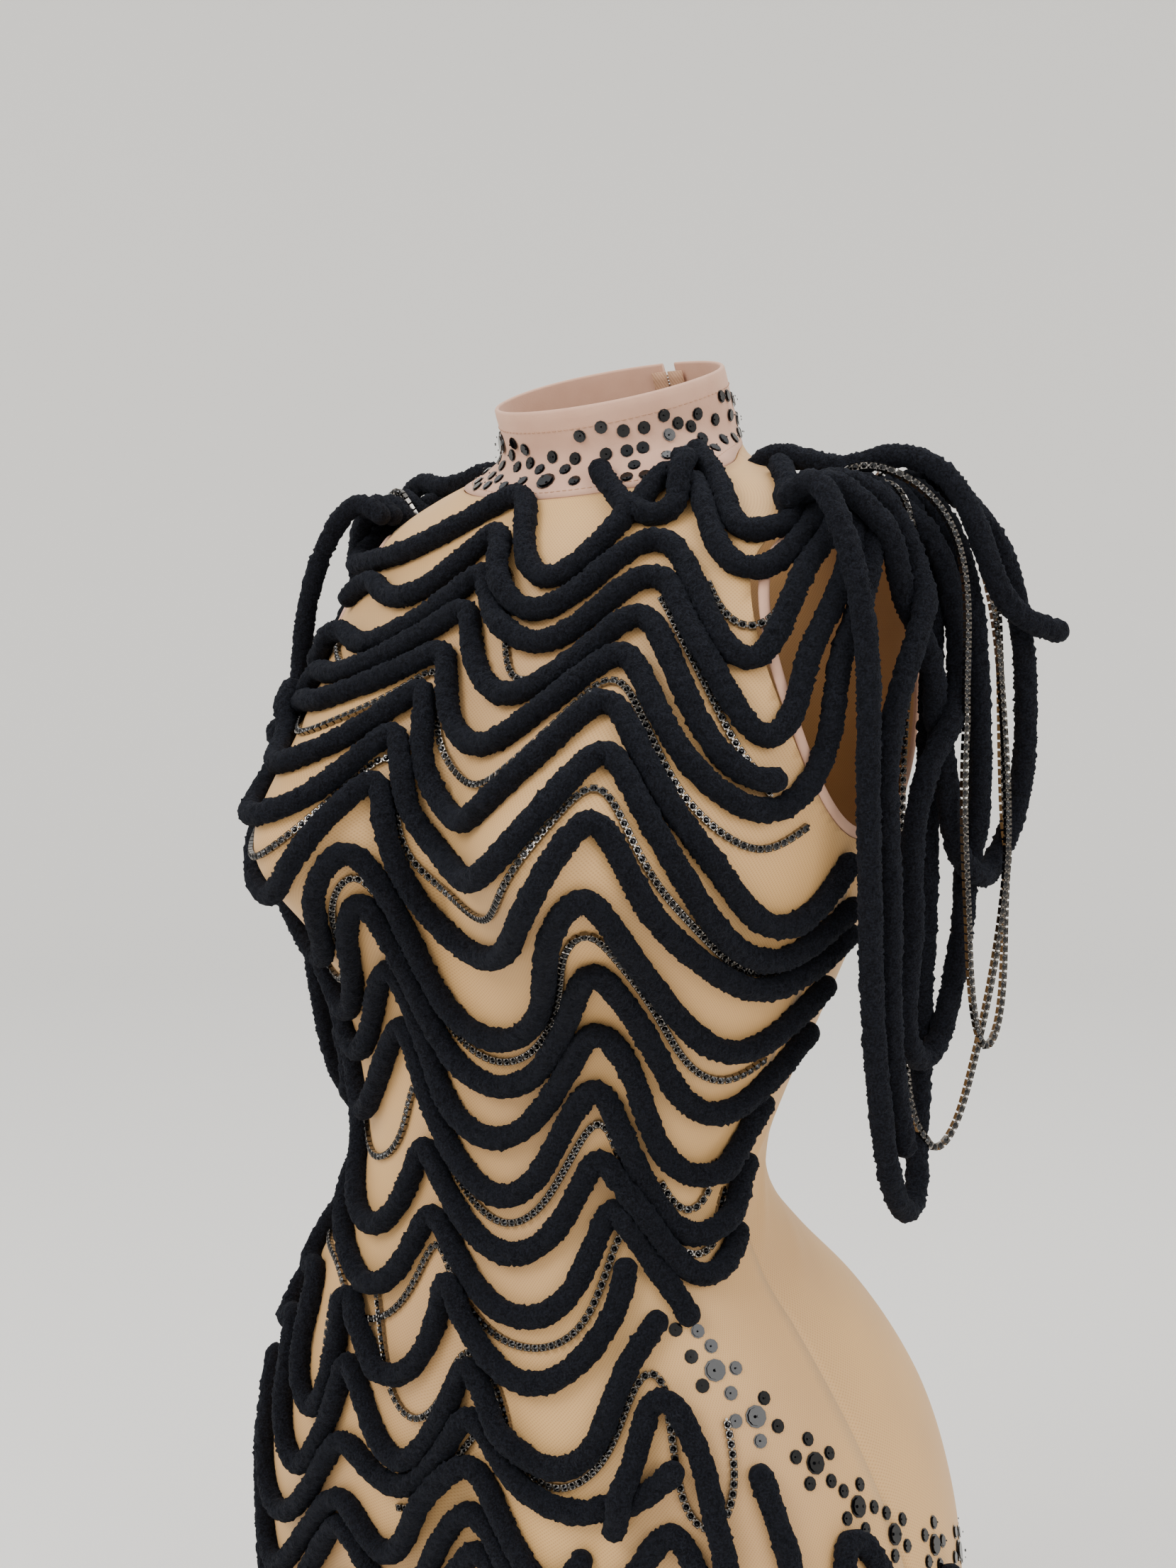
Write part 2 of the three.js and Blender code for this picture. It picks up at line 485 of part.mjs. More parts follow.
const frontRows = [
  [[-72, 372], [-62, 398], [-51, 406], [-44, 392], [-39, 412], [-37, 435], [-33, 455], [-28, 464],
    [-24, 463], [-22, 449], [-22, 431], [-23, 410], [-25, 391], [-21, 396], [-16, 411], [-13, 424],
    [-9, 430], [-5, 428], [-3, 418], [-1, 404], [0, 388], [1, 366], [3, 378], [5, 394], [8, 407],
    [13, 413], [19, 413], [26, 403], [33, 391], [40, 378], [49, 351]],
  [[-80, 396], [-68, 430], [-56, 440], [-47, 420], [-43, 430], [-41, 455], [-37, 484], [-31, 497],
    [-27, 495], [-23, 478], [-20, 456], [-20, 437], [-19, 421], [-16, 430], [-11, 448], [-8, 463],
    [-4, 470], [-1, 462], [0, 448], [2, 430], [4, 402], [6, 409], [8, 424], [10, 435], [14, 445],
    [20, 448], [26, 441], [30, 427], [34, 410], [39, 396], [47, 384], [54, 376]],
  [[-92, 428], [-80, 470], [-68, 478], [-58, 452], [-54, 468], [-52, 500], [-47, 524], [-39, 531],
    [-31, 521], [-24, 501], [-20, 481], [-16, 461], [-13, 467], [-9, 477], [-4, 480], [-1, 472],
    [1, 452], [4, 426], [7, 432], [9, 446], [13, 457], [18, 462], [23, 464], [29, 457], [35, 451],
    [40, 443], [45, 434]],
  [[-96, 466], [-84, 512], [-70, 520], [-60, 494], [-55, 512], [-52, 544], [-46, 567], [-38, 560],
    [-28, 534], [-20, 506], [-15, 490], [-12, 499], [-9, 514], [-6, 518], [-3, 502], [-1, 480],
    [1, 462], [4, 448], [7, 456], [8, 470], [10, 484], [13, 499], [17, 503], [21, 493], [23, 478]],
  [[-98, 508], [-86, 552], [-72, 562], [-62, 538], [-56, 560], [-52, 588], [-44, 596], [-36, 582],
    [-27, 552], [-20, 524], [-15, 503], [-12, 514], [-9, 531], [-5, 539], [-2, 526], [0, 504], [2, 482],
    [5, 470], [8, 478], [10, 496], [14, 510], [19, 513], [26, 499], [31, 486], [35, 471], [40, 456],
    [42, 466], [43, 484]],
  [[-98, 548], [-88, 594], [-74, 602], [-64, 582], [-57, 604], [-52, 628], [-44, 628], [-35, 609],
    [-25, 574], [-16, 537], [-12, 551], [-8, 562], [-4, 561], [-1, 543], [1, 517], [4, 495], [6, 485],
    [9, 503], [12, 523], [18, 528], [24, 516], [30, 501], [36, 487], [39, 492], [42, 512]],
];
const wholeRow = (row) => [...onTheRight(row.side), ...row.middle, ...row.side];
const cordRows = [...shoulderRows, ...torsoRows.map(wholeRow), ...frontRows];
cordRows.forEach((row, i) =>
  sewn(`cord_row_${String(i + 1).padStart(2, '0')}`, row, cordDiameter, finishes.plush));

// Cup chain sewn along the bare mesh between two rows of cord.
const chainRows = [
  { middle: [[-54, 100], [-44, 120], [-30, 129], [-20, 118], [-11, 105], [-5, 90], [-4, 108],
    [-3, 128], [3, 144],
    [11, 146], [17, 133], [22, 114], [28, 93]],
  side: [[34, 111], [40, 128], [46, 146], [55, 162], [64, 172], [72, 160]] },
  { middle: [[-53, 136], [-44, 170], [-28, 184], [-19, 171], [-13, 150], [-8, 129], [-6, 149], [-5, 174],
    [2, 195], [12, 202], [21, 192], [28, 165], [34, 137]],
  side: [[40, 157], [47, 180], [55, 199], [66, 222], [76, 228], [87, 218]] },
  { middle: [[-59, 192], [-50, 232], [-38, 251], [-26, 235], [-18, 208], [-10, 182], [-7, 208], [-5, 240],
    [0, 265], [9, 274], [18, 264], [26, 233], [37, 196]],
  side: [[42, 217], [49, 244], [58, 268], [72, 278], [86, 268]] },
  { middle: [[-67, 288], [-57, 317], [-44, 335], [-30, 334], [-19, 318], [-11, 281], [-8, 300], [-4, 319],
    [4, 339], [14, 349], [23, 339], [30, 314], [38, 286]],
  side: [[44, 307], [52, 334], [62, 356], [73, 358], [84, 329]] },
  { middle: [[-58, 386], [-47, 388], [-35, 388], [-20, 409], [-12, 404], [-8, 390], [-3, 353],
    [1, 376], [8, 395],
    [18, 398], [29, 389], [38, 366], [49, 334]],
  side: [] },
];
chainRows.forEach((row, i) =>
  sewn(`chain_row_${String(i + 1).padStart(2, '0')}`, wholeRow(row), chainDiameter, finishes.chain));

// Loops that hang from the hip, below a slanting band of stones.
const hipLoop = [[61, 436], [62, 480], [60, 540], [62, 590], [68, 604], [73, 590], [73, 540],
    [74, 470], [78, 466],
  [83, 486], [84, 540], [85, 590], [91, 604], [97, 590], [97, 550], [99, 506]];
sewn('hip_loop_left', hipLoop, cordDiameter, finishes.plush);
sewn('hip_loop_right', onTheRight(hipLoop), cordDiameter, finishes.plush);

// The shoulder fringe on the wearer's left, as [x outwards from the shoulder tip, y, z].
const fringe = {
  loop_1: [[0, -16, -6], [13, -22, -20], [27, -26, -48], [36, -28, -90], [37, -29, -140], [37, -26, -190],
    [37, -23, -240], [37, -14, -290], [37, -3, -326], [36, 12, -342], [33, 27, -334], [29, 34, -300],
    [26, 39, -250], [26, 43, -200], [27, 40, -150], [29, 38, -100], [29, 40, -60], [24, 39, -30],
    [11, 38, -12], [0, 38, -7]],
  loop_2: [[0, -7, -6], [17, 0, -22], [31, 10, -58], [39, 26, -98], [40, 34, -142], [42, 38, -175],
    [43, 50, -190], [44, 64, -192], [46, 80, -180], [49, 90, -150], [51, 89, -110], [49, 80, -60],
    [33, 66, -20], [13, 60, -6], [0, 56, -6]],
  strand_3: [[0, 2, -6], [19, 16, -24], [33, 20, -50], [40, 6, -80], [39, -12, -110], [38, -16, -145],
    [38, -10, -190], [38, -10, -240], [38, -3, -280], [37, 8, -310]],
  loop_4: [[0, 20, -6], [21, 32, -22], [37, 41, -60], [43, 38, -104], [40, 18, -134], [37, 8, -173],
    [37, 12, -211], [36, 6, -240], [36, 9, -264], [36, 22, -274], [36, 37, -268], [38, 46, -240],
    [41, 54, -200], [42, 62, -160], [42, 60, -110], [39, 56, -60], [25, 50, -20], [0, 47, -6]],
  strand_5: [[0, 38, 3], [21, 44, 2], [39, 48, -16], [50, 49, -43], [54, 55, -63], [59, 66, -73],
    [65, 82, -77], [68, 92, -78]],
  chain_6: [[0, 11, -1], [21, 22, -6], [41, 30, -24], [50, 32, -55], [51, 31, -98], [51, 31, -160],
    [51, 36, -201], [51, 42, -246], [51, 55, -274], [51, 68, -262], [49, 76, -206], [46, 76, -138],
    [44, 76, -86], [42, 74, -50], [33, 72, -22], [14, 68, -4], [0, 66, 0]],
  chain_7: [[0, 29, -7], [15, 28, -12], [28, 26, -34], [29, 22, -80], [26, 20, -130],
    [27, 19, -190], [28, 20, -250],
    [30, 23, -290], [31, 32, -311], [33, 42, -321], [37, 52, -311], [43, 58, -279], [51, 61, -235],
    [56, 64, -178], [50, 68, -111], [44, 67, -62], [29, 59, -14], [13, 52, 4], [0, 50, 3]],
};
// One cord runs along each shoulder seam from the collar to the tip, where the fringe takes over.
const shoulderCord = [[-55, 30, 10], [-39, 30, 3], [-23, 30, -2], [-9, 30, -6]];
const fromTip = (points, side) => points.map(([x, y, z]) => [side * (shoulderTip + x), y, z]);
for (const [side, sign] of [['left', 1], ['right', -1]]) {
  hanging(`${side}_shoulder_cord`, fromTip(shoulderCord, sign), cordDiameter, finishes.plush);
  for (const [name, points] of Object.entries(fringe)) {
    const [diameter, finish] = name.startsWith('chain')
      ? [chainDiameter, finishes.chain] : [cordDiameter, finishes.plush];
    hanging(`${side}_fringe_${name}`, fromTip(points, sign), diameter, finish);
  }
}

// Nearest points of two segments, as parts of their lengths, and the gap from the first to the second.
function nearest(a, b, c, d) {
  const u = b.clone().sub(a);
  const v = d.clone().sub(c);
  const w = a.clone().sub(c);
  const uu = u.lengthSq();
  const vv = v.lengthSq();
  const uv = u.dot(v);
  const spread = uu * vv - uv * uv;
  const clamp = THREE.MathUtils.clamp;
  let s = spread > 1e-6 ? clamp((uv * v.dot(w) - vv * u.dot(w)) / spread, 0, 1) : 0.5;
  const t = clamp((uv * s + v.dot(w)) / vv, 0, 1);
  s = clamp((uv * t - u.dot(w)) / uu, 0, 1);
  return { s, t, gap: v.multiplyScalar(t).sub(w).addScaledVector(u, -s) };
}
// Strands lie beside each other: where two come closer than their thickness they are eased apart.
const easing = 0.3;               // the share of what is missing that each round gives
const crossing = 0.2;             // closer than this, the two lines cross and one is lifted over
function easeApart(rounds) {
  const sections = strands.flatMap((strand) => strand.points.slice(1).map((point, i) =>
    ({ strand, i, start: strand.points[i], end: point })));
  const reach = sections.map((s) => s.start.at.distanceTo(s.end.at) / 2);
  for (let round = 0; round < rounds; round++) {
    const middles = sections.map((s) => s.start.at.clone().add(s.end.at).divideScalar(2));
    for (let i = 0; i < sections.length; i++) {
      for (let j = i + 1; j < sections.length; j++) {
        const [one, other] = [sections[i], sections[j]];
        if (one.strand === other.strand && other.i - one.i < 2) continue;
        const pitch = one.strand.radius + other.strand.radius + cordClearance;
        if (middles[i].distanceTo(middles[j]) > reach[i] + reach[j] + pitch) continue;
        const { s, t, gap } = nearest(one.start.at, one.end.at, other.start.at, other.end.at);
        const length = gap.length();
        if (length >= pitch) continue;
        const push = length > crossing ? gap.setLength((pitch - length) * easing)
          : outwards(0, one.start.at.z).setLength(pitch * easing);
        one.start.move(push.clone().multiplyScalar(-(1 - s)));
        one.end.move(push.clone().multiplyScalar(-s));
        other.start.move(push.clone().multiplyScalar(1 - t));
        other.end.move(push.clone().multiplyScalar(t));
      }
    }
  }
}
easeApart(40);

// A curve whose steps fall on its own points, so that a tube keeps them where the turns are tight.
class StrandLine extends THREE.CatmullRomCurve3 {
  getPointAt(u, target) { return this.getPoint(u, target); }
  getTangentAt(u, target) { return this.getTangent(u, target); }
}
const cordSides = 6;
const chainSides = 4;
for (const { name, radius, finish, points } of strands) {
  const sides = finish === finishes.chain ? chainSides : cordSides;
  const section = new THREE.Shape(Array.from({ length: sides }, (_, k) => {
    const turn = ((k + 0.5) / sides) * 2 * Math.PI;
    return new THREE.Vector2(radius * Math.cos(turn), radius * Math.sin(turn));
  }));
  const line = new StrandLine(points.map((p) => p.at), false, 'centripetal');
  const options = { steps: points.length - 1, extrudePath: line };
  addPiece(name, new THREE.ExtrudeGeometry(section, options), finish);
}

export default dress;
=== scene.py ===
# Looks of a sleeveless stage dress: stretch mesh under rows of plush cord and cup chain, with a
# cord fringe at each shoulder and a zip at the back. Lengths in the lists are millimetres, as on
# the maker's pattern; everything that reaches Blender is in metres.
import math

import bpy
import numpy as np
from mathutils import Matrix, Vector, noise


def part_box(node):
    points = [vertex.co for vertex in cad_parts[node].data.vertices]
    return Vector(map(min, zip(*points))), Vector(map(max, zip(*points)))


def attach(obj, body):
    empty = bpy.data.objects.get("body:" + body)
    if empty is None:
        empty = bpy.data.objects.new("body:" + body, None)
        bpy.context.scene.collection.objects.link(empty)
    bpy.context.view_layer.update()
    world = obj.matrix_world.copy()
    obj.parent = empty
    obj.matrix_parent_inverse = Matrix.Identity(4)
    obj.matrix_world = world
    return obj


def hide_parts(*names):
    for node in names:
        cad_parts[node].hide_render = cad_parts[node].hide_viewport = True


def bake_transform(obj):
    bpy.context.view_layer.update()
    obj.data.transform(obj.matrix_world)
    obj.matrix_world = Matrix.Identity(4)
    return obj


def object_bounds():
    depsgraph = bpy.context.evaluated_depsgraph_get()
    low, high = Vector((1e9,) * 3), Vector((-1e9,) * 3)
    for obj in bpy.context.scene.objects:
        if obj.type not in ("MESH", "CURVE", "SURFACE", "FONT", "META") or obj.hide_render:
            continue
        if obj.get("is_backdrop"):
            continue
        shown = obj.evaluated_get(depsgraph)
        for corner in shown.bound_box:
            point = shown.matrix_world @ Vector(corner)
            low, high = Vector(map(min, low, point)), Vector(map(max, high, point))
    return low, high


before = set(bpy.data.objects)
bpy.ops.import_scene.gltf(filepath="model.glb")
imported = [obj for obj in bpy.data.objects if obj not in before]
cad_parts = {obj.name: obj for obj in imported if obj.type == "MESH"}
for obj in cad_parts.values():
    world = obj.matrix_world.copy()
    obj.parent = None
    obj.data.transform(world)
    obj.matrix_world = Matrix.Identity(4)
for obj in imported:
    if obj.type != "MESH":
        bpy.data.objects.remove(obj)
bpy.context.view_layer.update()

# ---- camera ----
# Eye level with the chest, a little to the wearer's left of the front and tipped slightly down.
MM = 0.001
camera_turn, camera_tip = math.radians(39), math.radians(5)
camera_distance, camera_height = 0.950, -0.070
camera = bpy.data.objects.new("camera", bpy.data.cameras.new("camera"))
bpy.context.scene.collection.objects.link(camera)
camera.location = (camera_distance * math.sin(camera_turn),
                   -camera_distance * math.cos(camera_turn), camera_height)
gaze = Vector((-math.sin(camera_turn) * math.cos(camera_tip),
               math.cos(camera_turn) * math.cos(camera_tip), -math.sin(camera_tip)))
camera.rotation_euler = gaze.to_track_quat("-Z", "Y").to_euler()
camera.data.lens, camera.data.sensor_width = 44.46, 36
bpy.context.scene.camera = camera

# ---- the worn shape ----
# The dress follows one closed body surface. Each level gives its height, its half breadth as a
# part of the bust breadth, how far forward it comes and how square its section is.
bust_breadth = 336
levels = np.array([
    (75, 0.33, -50, 2), (30, 0.345, -40, 2), (14, 0.357, -32, 2), (6, 0.405, -28, 1.9),
    (0, 0.5, -28, 1.8), (-10, 0.702, -36, 1.6), (-20, 0.833, -44, 1.6), (-32, 0.923, -54, 1.65),
    (-55, 0.988, -68, 1.8), (-100, 1, -84, 2.1), (-150, 0.952, -94, 2.3), (-175, 0.917, -97, 2.4),
    (-220, 0.821, -95, 2.4), (-265, 0.726, -93, 2.4), (-300, 0.655, -93, 2.3),
    (-330, 0.631, -94, 2.2), (-365, 0.696, -99, 2.3), (-400, 0.839, -104, 2.4),
    (-450, 1, -109, 2.5), (-500, 1.101, -110, 2.5), (-540, 1.137, -106, 2.5),
    (-600, 1.131, -102, 2.5), (-680, 1.09, -96, 2.5)
])
side_line = np.array([(75, 10), (0, 30), (-60, 18), (-150, 10), (-320, -22), (-520, 0), (-680, 0)])
zip_arc = {"radius": 420, "y": -315, "z": -120, "end": -300}
small_of_back = [(-322, 57), (-345, 63), (-370, 86), (-400, 114), (-440, 134), (-490, 138),
                 (-540, 132), (-600, 124), (-680, 110)]


def arc_back(z):
    return zip_arc["y"] + np.sqrt(zip_arc["radius"] ** 2 - (z - zip_arc["z"]) ** 2)


def smooth_line(heights, values):
    """A smooth line through values given at heights, as a function of height."""
    order = np.argsort(heights)
    knots, ends = np.asarray(heights, float)[order], np.asarray(values, float)[order]
    steps, rises = np.diff(knots), np.diff(ends) / np.diff(knots)
    slopes = np.concatenate([rises[:1], (rises[:-1] * steps[1:] + rises[1:] * steps[:-1])
                             / (steps[1:] + steps[:-1]), rises[-1:]])

    def line(z):
        i = np.clip(np.searchsorted(knots, z, side="right") - 1, 0, len(steps) - 1)
        s = np.clip((z - knots[i]) / steps[i], 0, 1)
        return ((2 * s ** 3 - 3 * s ** 2 + 1) * ends[i] + (s ** 3 - 2 * s ** 2 + s) * steps[i] * slopes[i]
                + (3 * s ** 2 - 2 * s ** 3) * ends[i + 1] + (s ** 3 - s ** 2) * steps[i] * slopes[i + 1])
    return line


half_breadth = smooth_line(levels[:, 0], levels[:, 1] * bust_breadth / 2)
front_line = smooth_line(levels[:, 0], levels[:, 2])
roundness = smooth_line(levels[:, 0], levels[:, 3])
side_y = smooth_line(side_line[:, 0], side_line[:, 1])
arc_foot = [(z, arc_back(z)) for z in (zip_arc["end"] + 10.0, float(zip_arc["end"]))]
low_back = np.array(arc_foot + small_of_back)
low_back_y = smooth_line(low_back[:, 0], low_back[:, 1])
bust = {"x": 84, "z": -178, "fullness": 58, "breadth": 60, "above": 62, "below": 50}
seat = {"x": 85, "z": -520, "fullness": 20, "breadth": 60, "height": 70}


def on_body(angle, z):
    """Points in mm at angles in degrees from the centre front, positive to the wearer's left."""
    angle, z = np.broadcast_arrays(np.asarray(angle, float), np.asarray(z, float))
    turn = np.radians(angle - 90)
    c, s = np.cos(turn), np.sin(turn)
    power = 2 / roundness(z)
    x = half_breadth(z) * np.sign(c) * np.abs(c) ** power
    back = np.where(z >= zip_arc["end"], arc_back(np.maximum(z, zip_arc["end"])), low_back_y(z))
    depth = np.where(s < 0, side_y(z) - front_line(z), back - side_y(z))
    y = side_y(z) + depth * np.sign(s) * np.abs(s) ** power
    height = np.where(z > bust["z"], bust["above"], bust["below"])
    front_swell = np.exp(-((np.abs(x) - bust["x"]) / bust["breadth"]) ** 2
                         - ((z - bust["z"]) / height) ** 2)
    back_swell = np.exp(-((np.abs(x) - seat["x"]) / seat["breadth"]) ** 2
                        - ((z - seat["z"]) / seat["height"]) ** 2)
    swell = np.where(s < 0, -bust["fullness"] * front_swell, seat["fullness"] * back_swell)
    y = y + np.sqrt(np.abs(s)) * swell
    return np.stack([x, y, z], -1)


def across_body(angle, z):
    """Steps per degree and per mm of height along the surface, and its outward direction."""
    around = (on_body(angle + 1, z) - on_body(angle - 1, z)) / 2
    up = (on_body(angle, z + 1.5) - on_body(angle, z - 1.5)) / 3
    out = np.cross(around, up)
    return around, up, out / np.linalg.norm(out, axis=-1, keepdims=True)


def off_body(angle, z, offset):
    return on_body(angle, z) + across_body(angle, z)[2] * np.asarray(offset)[..., None]


def angle_at(y, z):
    """The angle on the wearer's left at which the body has depth y at height z."""
    low, high = np.full(np.shape(y), 1.0), np.full(np.shape(y), 179.0)
    for _ in range(30):
        middle = (low + high) / 2
        ahead = on_body(middle, z)[..., 1] < y
        low, high = np.where(ahead, middle, low), np.where(ahead, high, middle)
    return (low + high) / 2


# ---- mesh panels ----
# One front and two backs of sheer stretch mesh over a thin lining, cut in a tan and worn
# stretched. They are sewn to each other along the shoulders, the sides and the centre back.
def linear(hex_colour):
    """An sRGB hex colour as the linear values that a shader takes."""
    parts = [int(hex_colour[i:i + 2], 16) / 255 for i in (1, 3, 5)]
    return [p / 12.92 if p <= 0.04045 else ((p + 0.055) / 1.055) ** 2.4 for p in parts] + [1]


def put(material, kind, inputs=(), **settings):
    """Adds a node to a material. An input is a value, or a (node, output) pair to link."""
    made = material.node_tree.nodes.new(kind)
    for name, value in settings.items():
        setattr(made, name, value)
    for name, value in dict(inputs).items():
        if isinstance(value, tuple) and isinstance(value[0], bpy.types.Node):
            material.node_tree.links.new(value[0].outputs[value[1]], made.inputs[name])
        else:
            made.inputs[name].default_value = value
    return made


def new_material(name, **sockets):
    """A material with one shader, whose constant values are set here."""
    material = bpy.data.materials.new(name)
    material.use_nodes = True
    shader = material.node_tree.nodes["Principled BSDF"]
    for socket, value in sockets.items():
        shader.inputs[socket.replace("_", " ")].default_value = value
    return material, shader


def feed(material, source, output, shader, socket):
    material.node_tree.links.new(source.outputs[output], shader.inputs[socket])


# Warp-knit power mesh: an even tan with broad, warmer and paler clouds of painted glow and highlight,
# standing in for the gold form seen through the sheer mesh. Its eyelets are 0.5 mm on the real cloth and are
# drawn 1.15 mm apart, to be seen.
eyelet_pitch = 1.15 * MM
power_mesh, shader = new_material("stretch_power_mesh", Roughness=0.62, Sheen_Weight=0.25,
                                  Sheen_Roughness=0.4, Sheen_Tint=linear("#f3dcc0"))
place = put(power_mesh, "ShaderNodeTexCoord")
# Broad noise clouds lighten and warm the tan: painted glow and highlights of a gold form under the mesh.
painted_glow_cloud = put(power_mesh, "ShaderNodeTexNoise", {"Vector": (place, "Object"), "Scale": 9.0, "Detail": 2.0})
painted_glow_share = put(power_mesh, "ShaderNodeMapRange", {"Value": (painted_glow_cloud, "Fac"), "From Min": 0.35, "From Max": 0.68})
tan_and_painted_glow = put(power_mesh, "ShaderNodeMix", {"Factor": (painted_glow_share, "Result"), 6: linear("#c39a68"),
                                        7: linear("#d4a86c")}, data_type="RGBA")
lines = []
for turn in (45, -45):
    laid = put(power_mesh, "ShaderNodeMapping", {"Vector": (place, "UV"),
                                                 "Rotation": (0, 0, math.radians(turn))})
    lines.append(put(power_mesh, "ShaderNodeTexWave", {"Vector": (laid, "Vector"),
                     "Scale": math.pi / 10 / eyelet_pitch, "Distortion": 0.3, "Detail": 0.0}))
eyelets = put(power_mesh, "ShaderNodeMath", {0: (lines[0], "Fac"), 1: (lines[1], "Fac")},
              operation="MULTIPLY")
shade = put(power_mesh, "ShaderNodeMix", {"Factor": (eyelets, "Value"), 6: linear("#ffffff"),
                                          7: linear("#e6d8c6")}, data_type="RGBA")
knit = put(power_mesh, "ShaderNodeMix", {"Factor": 1.0, 6: (tan_and_painted_glow, 2), 7: (shade, 2)},
           data_type="RGBA", blend_type="MULTIPLY")
feed(power_mesh, knit, 2, shader, "Base Color")
relief = put(power_mesh, "ShaderNodeBump", {"Height": (eyelets, "Value"), "Distance": 0.09 * MM,
                                            "Strength": 0.35}, invert=True)
feed(power_mesh, relief, "Normal", shader, "Normal")

mesh_thickness = 1.2 * MM
dress_length = 640
neck_front, neck_slope = -12, 0.32
armhole = {"y": 5, "z": -98, "across": 52, "up": 72, "inner": 95}
zip_foot = -302
zip_half = 4.2


def neck_height(y, lift=0):
    return neck_front + neck_slope * (y - front_line(0.0)) + lift


def neck_seam(angle, lift=0):
    """The height at which the body meets the neck seam's plane, or a plane lifted above it."""
    z = np.zeros(np.shape(angle))
    for _ in range(80):
        z = 0.7 * z + 0.3 * neck_height(on_body(angle, z)[..., 1], lift)
    return z


def add_piece(name, verts, faces, materials, smooth=True, shade_of=None):
    """A mesh object from points in metres. shade_of gives each face's material."""
    mesh = bpy.data.meshes.new(name)
    if isinstance(faces, np.ndarray):
        faces = [tuple(f) for f in faces.tolist()]
    mesh.from_pydata(np.asarray(verts, float).tolist(), [], faces)
    for material in materials:
        mesh.materials.append(material)
    mesh.polygons.foreach_set("use_smooth", np.full(len(mesh.polygons), smooth))
    if shade_of is not None:
        mesh.polygons.foreach_set("material_index", np.asarray(shade_of, np.int32))
    mesh.update()
    piece = bpy.data.objects.new(name, mesh)
    bpy.context.scene.collection.objects.link(piece)
    return piece


def only(piece):
    """Selects this piece alone and makes it active."""
    bpy.ops.object.select_all(action="DESELECT")
    piece.select_set(True)
    bpy.context.view_layer.objects.active = piece


def modify(piece, kind, **settings):
    """Puts a modifier on a piece and applies it."""
    only(piece)
    modifier = piece.modifiers.new(kind.lower(), kind)
    for name, value in settings.items():
        setattr(modifier, name, value)
    bpy.ops.object.modifier_apply(modifier=modifier.name)


def mesh_area(piece):
    return sum(p.area for p in piece.data.polygons)


# Drag lines in the worn cloth: angle, drop, slant, length, breadth and depth of each.
creases = [(86, 318, 0.9, 46, 3.2, 1.1), (94, 330, 0.8, 52, 3.6, 1.2), (101, 345, 0.7, 44, 3.4, 1.0),
           (78, 300, 1.0, 36, 3.0, 0.7), (66, 405, -0.5, 40, 4.5, 0.5), (104, 372, 0.5, 40, 4.0, 0.8),
           (20, 20, 0.6, 30, 3.0, 0.6), (52, 30, -0.7, 30, 3.0, 0.6)]
creases += [(-angle, *rest) for angle, *rest in creases]
mm_per_degree = 2.3


def crease_depth(angle, z):
    total = np.zeros(np.shape(angle))
    for centre, drop, slant, length, breadth, depth in creases:
        reach = mm_per_degree * (angle - centre) * np.sign(centre)
        lean = np.hypot(1, slant)
        along = (reach + slant * (z + drop)) / lean
        aside = (slant * reach - (z + drop)) / lean
        total += depth * np.exp(-(along / length) ** 2) * np.exp(-(aside / breadth) ** 2)
    return total


# Below the yoke the panels' rows lie level; above it they fan out to meet the sloping neck seam.
yoke_height, row_step, yoke_rows, panel_columns = -66.0, 4.0, 28, 66
seam_allowance, unrolled_radius = 0.3, 0.130


def panel(name, start, finish):
    """A panel between two angles at every height, open at the armhole, with its UV in metres."""
    share = np.linspace(0, 1, panel_columns + 1)
    low = np.arange(-dress_length, yoke_height, row_step)
    rise = np.linspace(0, 1, yoke_rows) ** 0.75
    angles, heights = [], []
    for z in low:
        angles.append(start(z) + (finish(z) - start(z)) * share)
        heights.append(np.full(panel_columns + 1, z))
    for part in rise:
        angle = start(yoke_height) + (finish(yoke_height) - start(yoke_height)) * share
        z = yoke_height + (neck_seam(angle, -seam_allowance) - yoke_height) * part
        angles.append(start(z) + (finish(z) - start(z)) * share)
        heights.append(z)
    angle, z = np.array(angles), np.array(heights)
    points = on_body(angle, z)
    reach = ((points[..., 1] - armhole["y"]) / armhole["across"]) ** 2 \
        + ((z - armhole["z"]) / armhole["up"]) ** 2
    inside = (reach < 1) & (np.abs(points[..., 0]) > armhole["inner"])
    rim = np.sqrt(np.maximum(reach, 1e-6))
    rim_y = armhole["y"] + (points[..., 1] - armhole["y"]) / rim
    rim_z = armhole["z"] + (z - armhole["z"]) / rim
    rim_angle = angle_at(rim_y, rim_z) * np.where(points[..., 0] < 0, -1, 1)
    angle = np.where(inside, rim_angle, angle)
    z = np.where(inside, rim_z, z)
    points = (on_body(angle, z) + across_body(angle, z)[2] * crease_depth(angle, z)[..., None]) * MM
    rows, columns = angle.shape
    index = np.arange(rows * columns).reshape(rows, columns)
    corners = np.stack([index[:-1, :-1], index[:-1, 1:], index[1:, 1:], index[1:, :-1]], -1)
    corners = corners.reshape(-1, 4)
    kept = corners[~inside.reshape(-1)[corners].all(1)]
    used = np.unique(kept)
    renumber = np.zeros(rows * columns, int)
    renumber[used] = np.arange(len(used))
    piece = add_piece(name, points.reshape(-1, 3)[used], renumber[kept], [power_mesh])
    around = np.radians(angle) * unrolled_radius
    flat_place = np.stack([around, z * MM], -1).reshape(-1, 2)[used]
    layer = piece.data.uv_layers.new(name="cut")
    corner_of = np.empty(len(piece.data.loops), np.int32)
    piece.data.loops.foreach_get("vertex_index", corner_of)
    layer.data.foreach_set("uv", flat_place[corner_of].astype(np.float32).ravel())
    cloth_area = mesh_area(piece)
    modify(piece, "SOLIDIFY", thickness=mesh_thickness, offset=-1)
    return piece, cloth_area


def zip_edge(z):
    half = np.where(np.asarray(z) > zip_foot, zip_half, 0.15)
    return 180 - np.degrees(np.arcsin((half / half_breadth(z)) ** (roundness(z) / 2)))


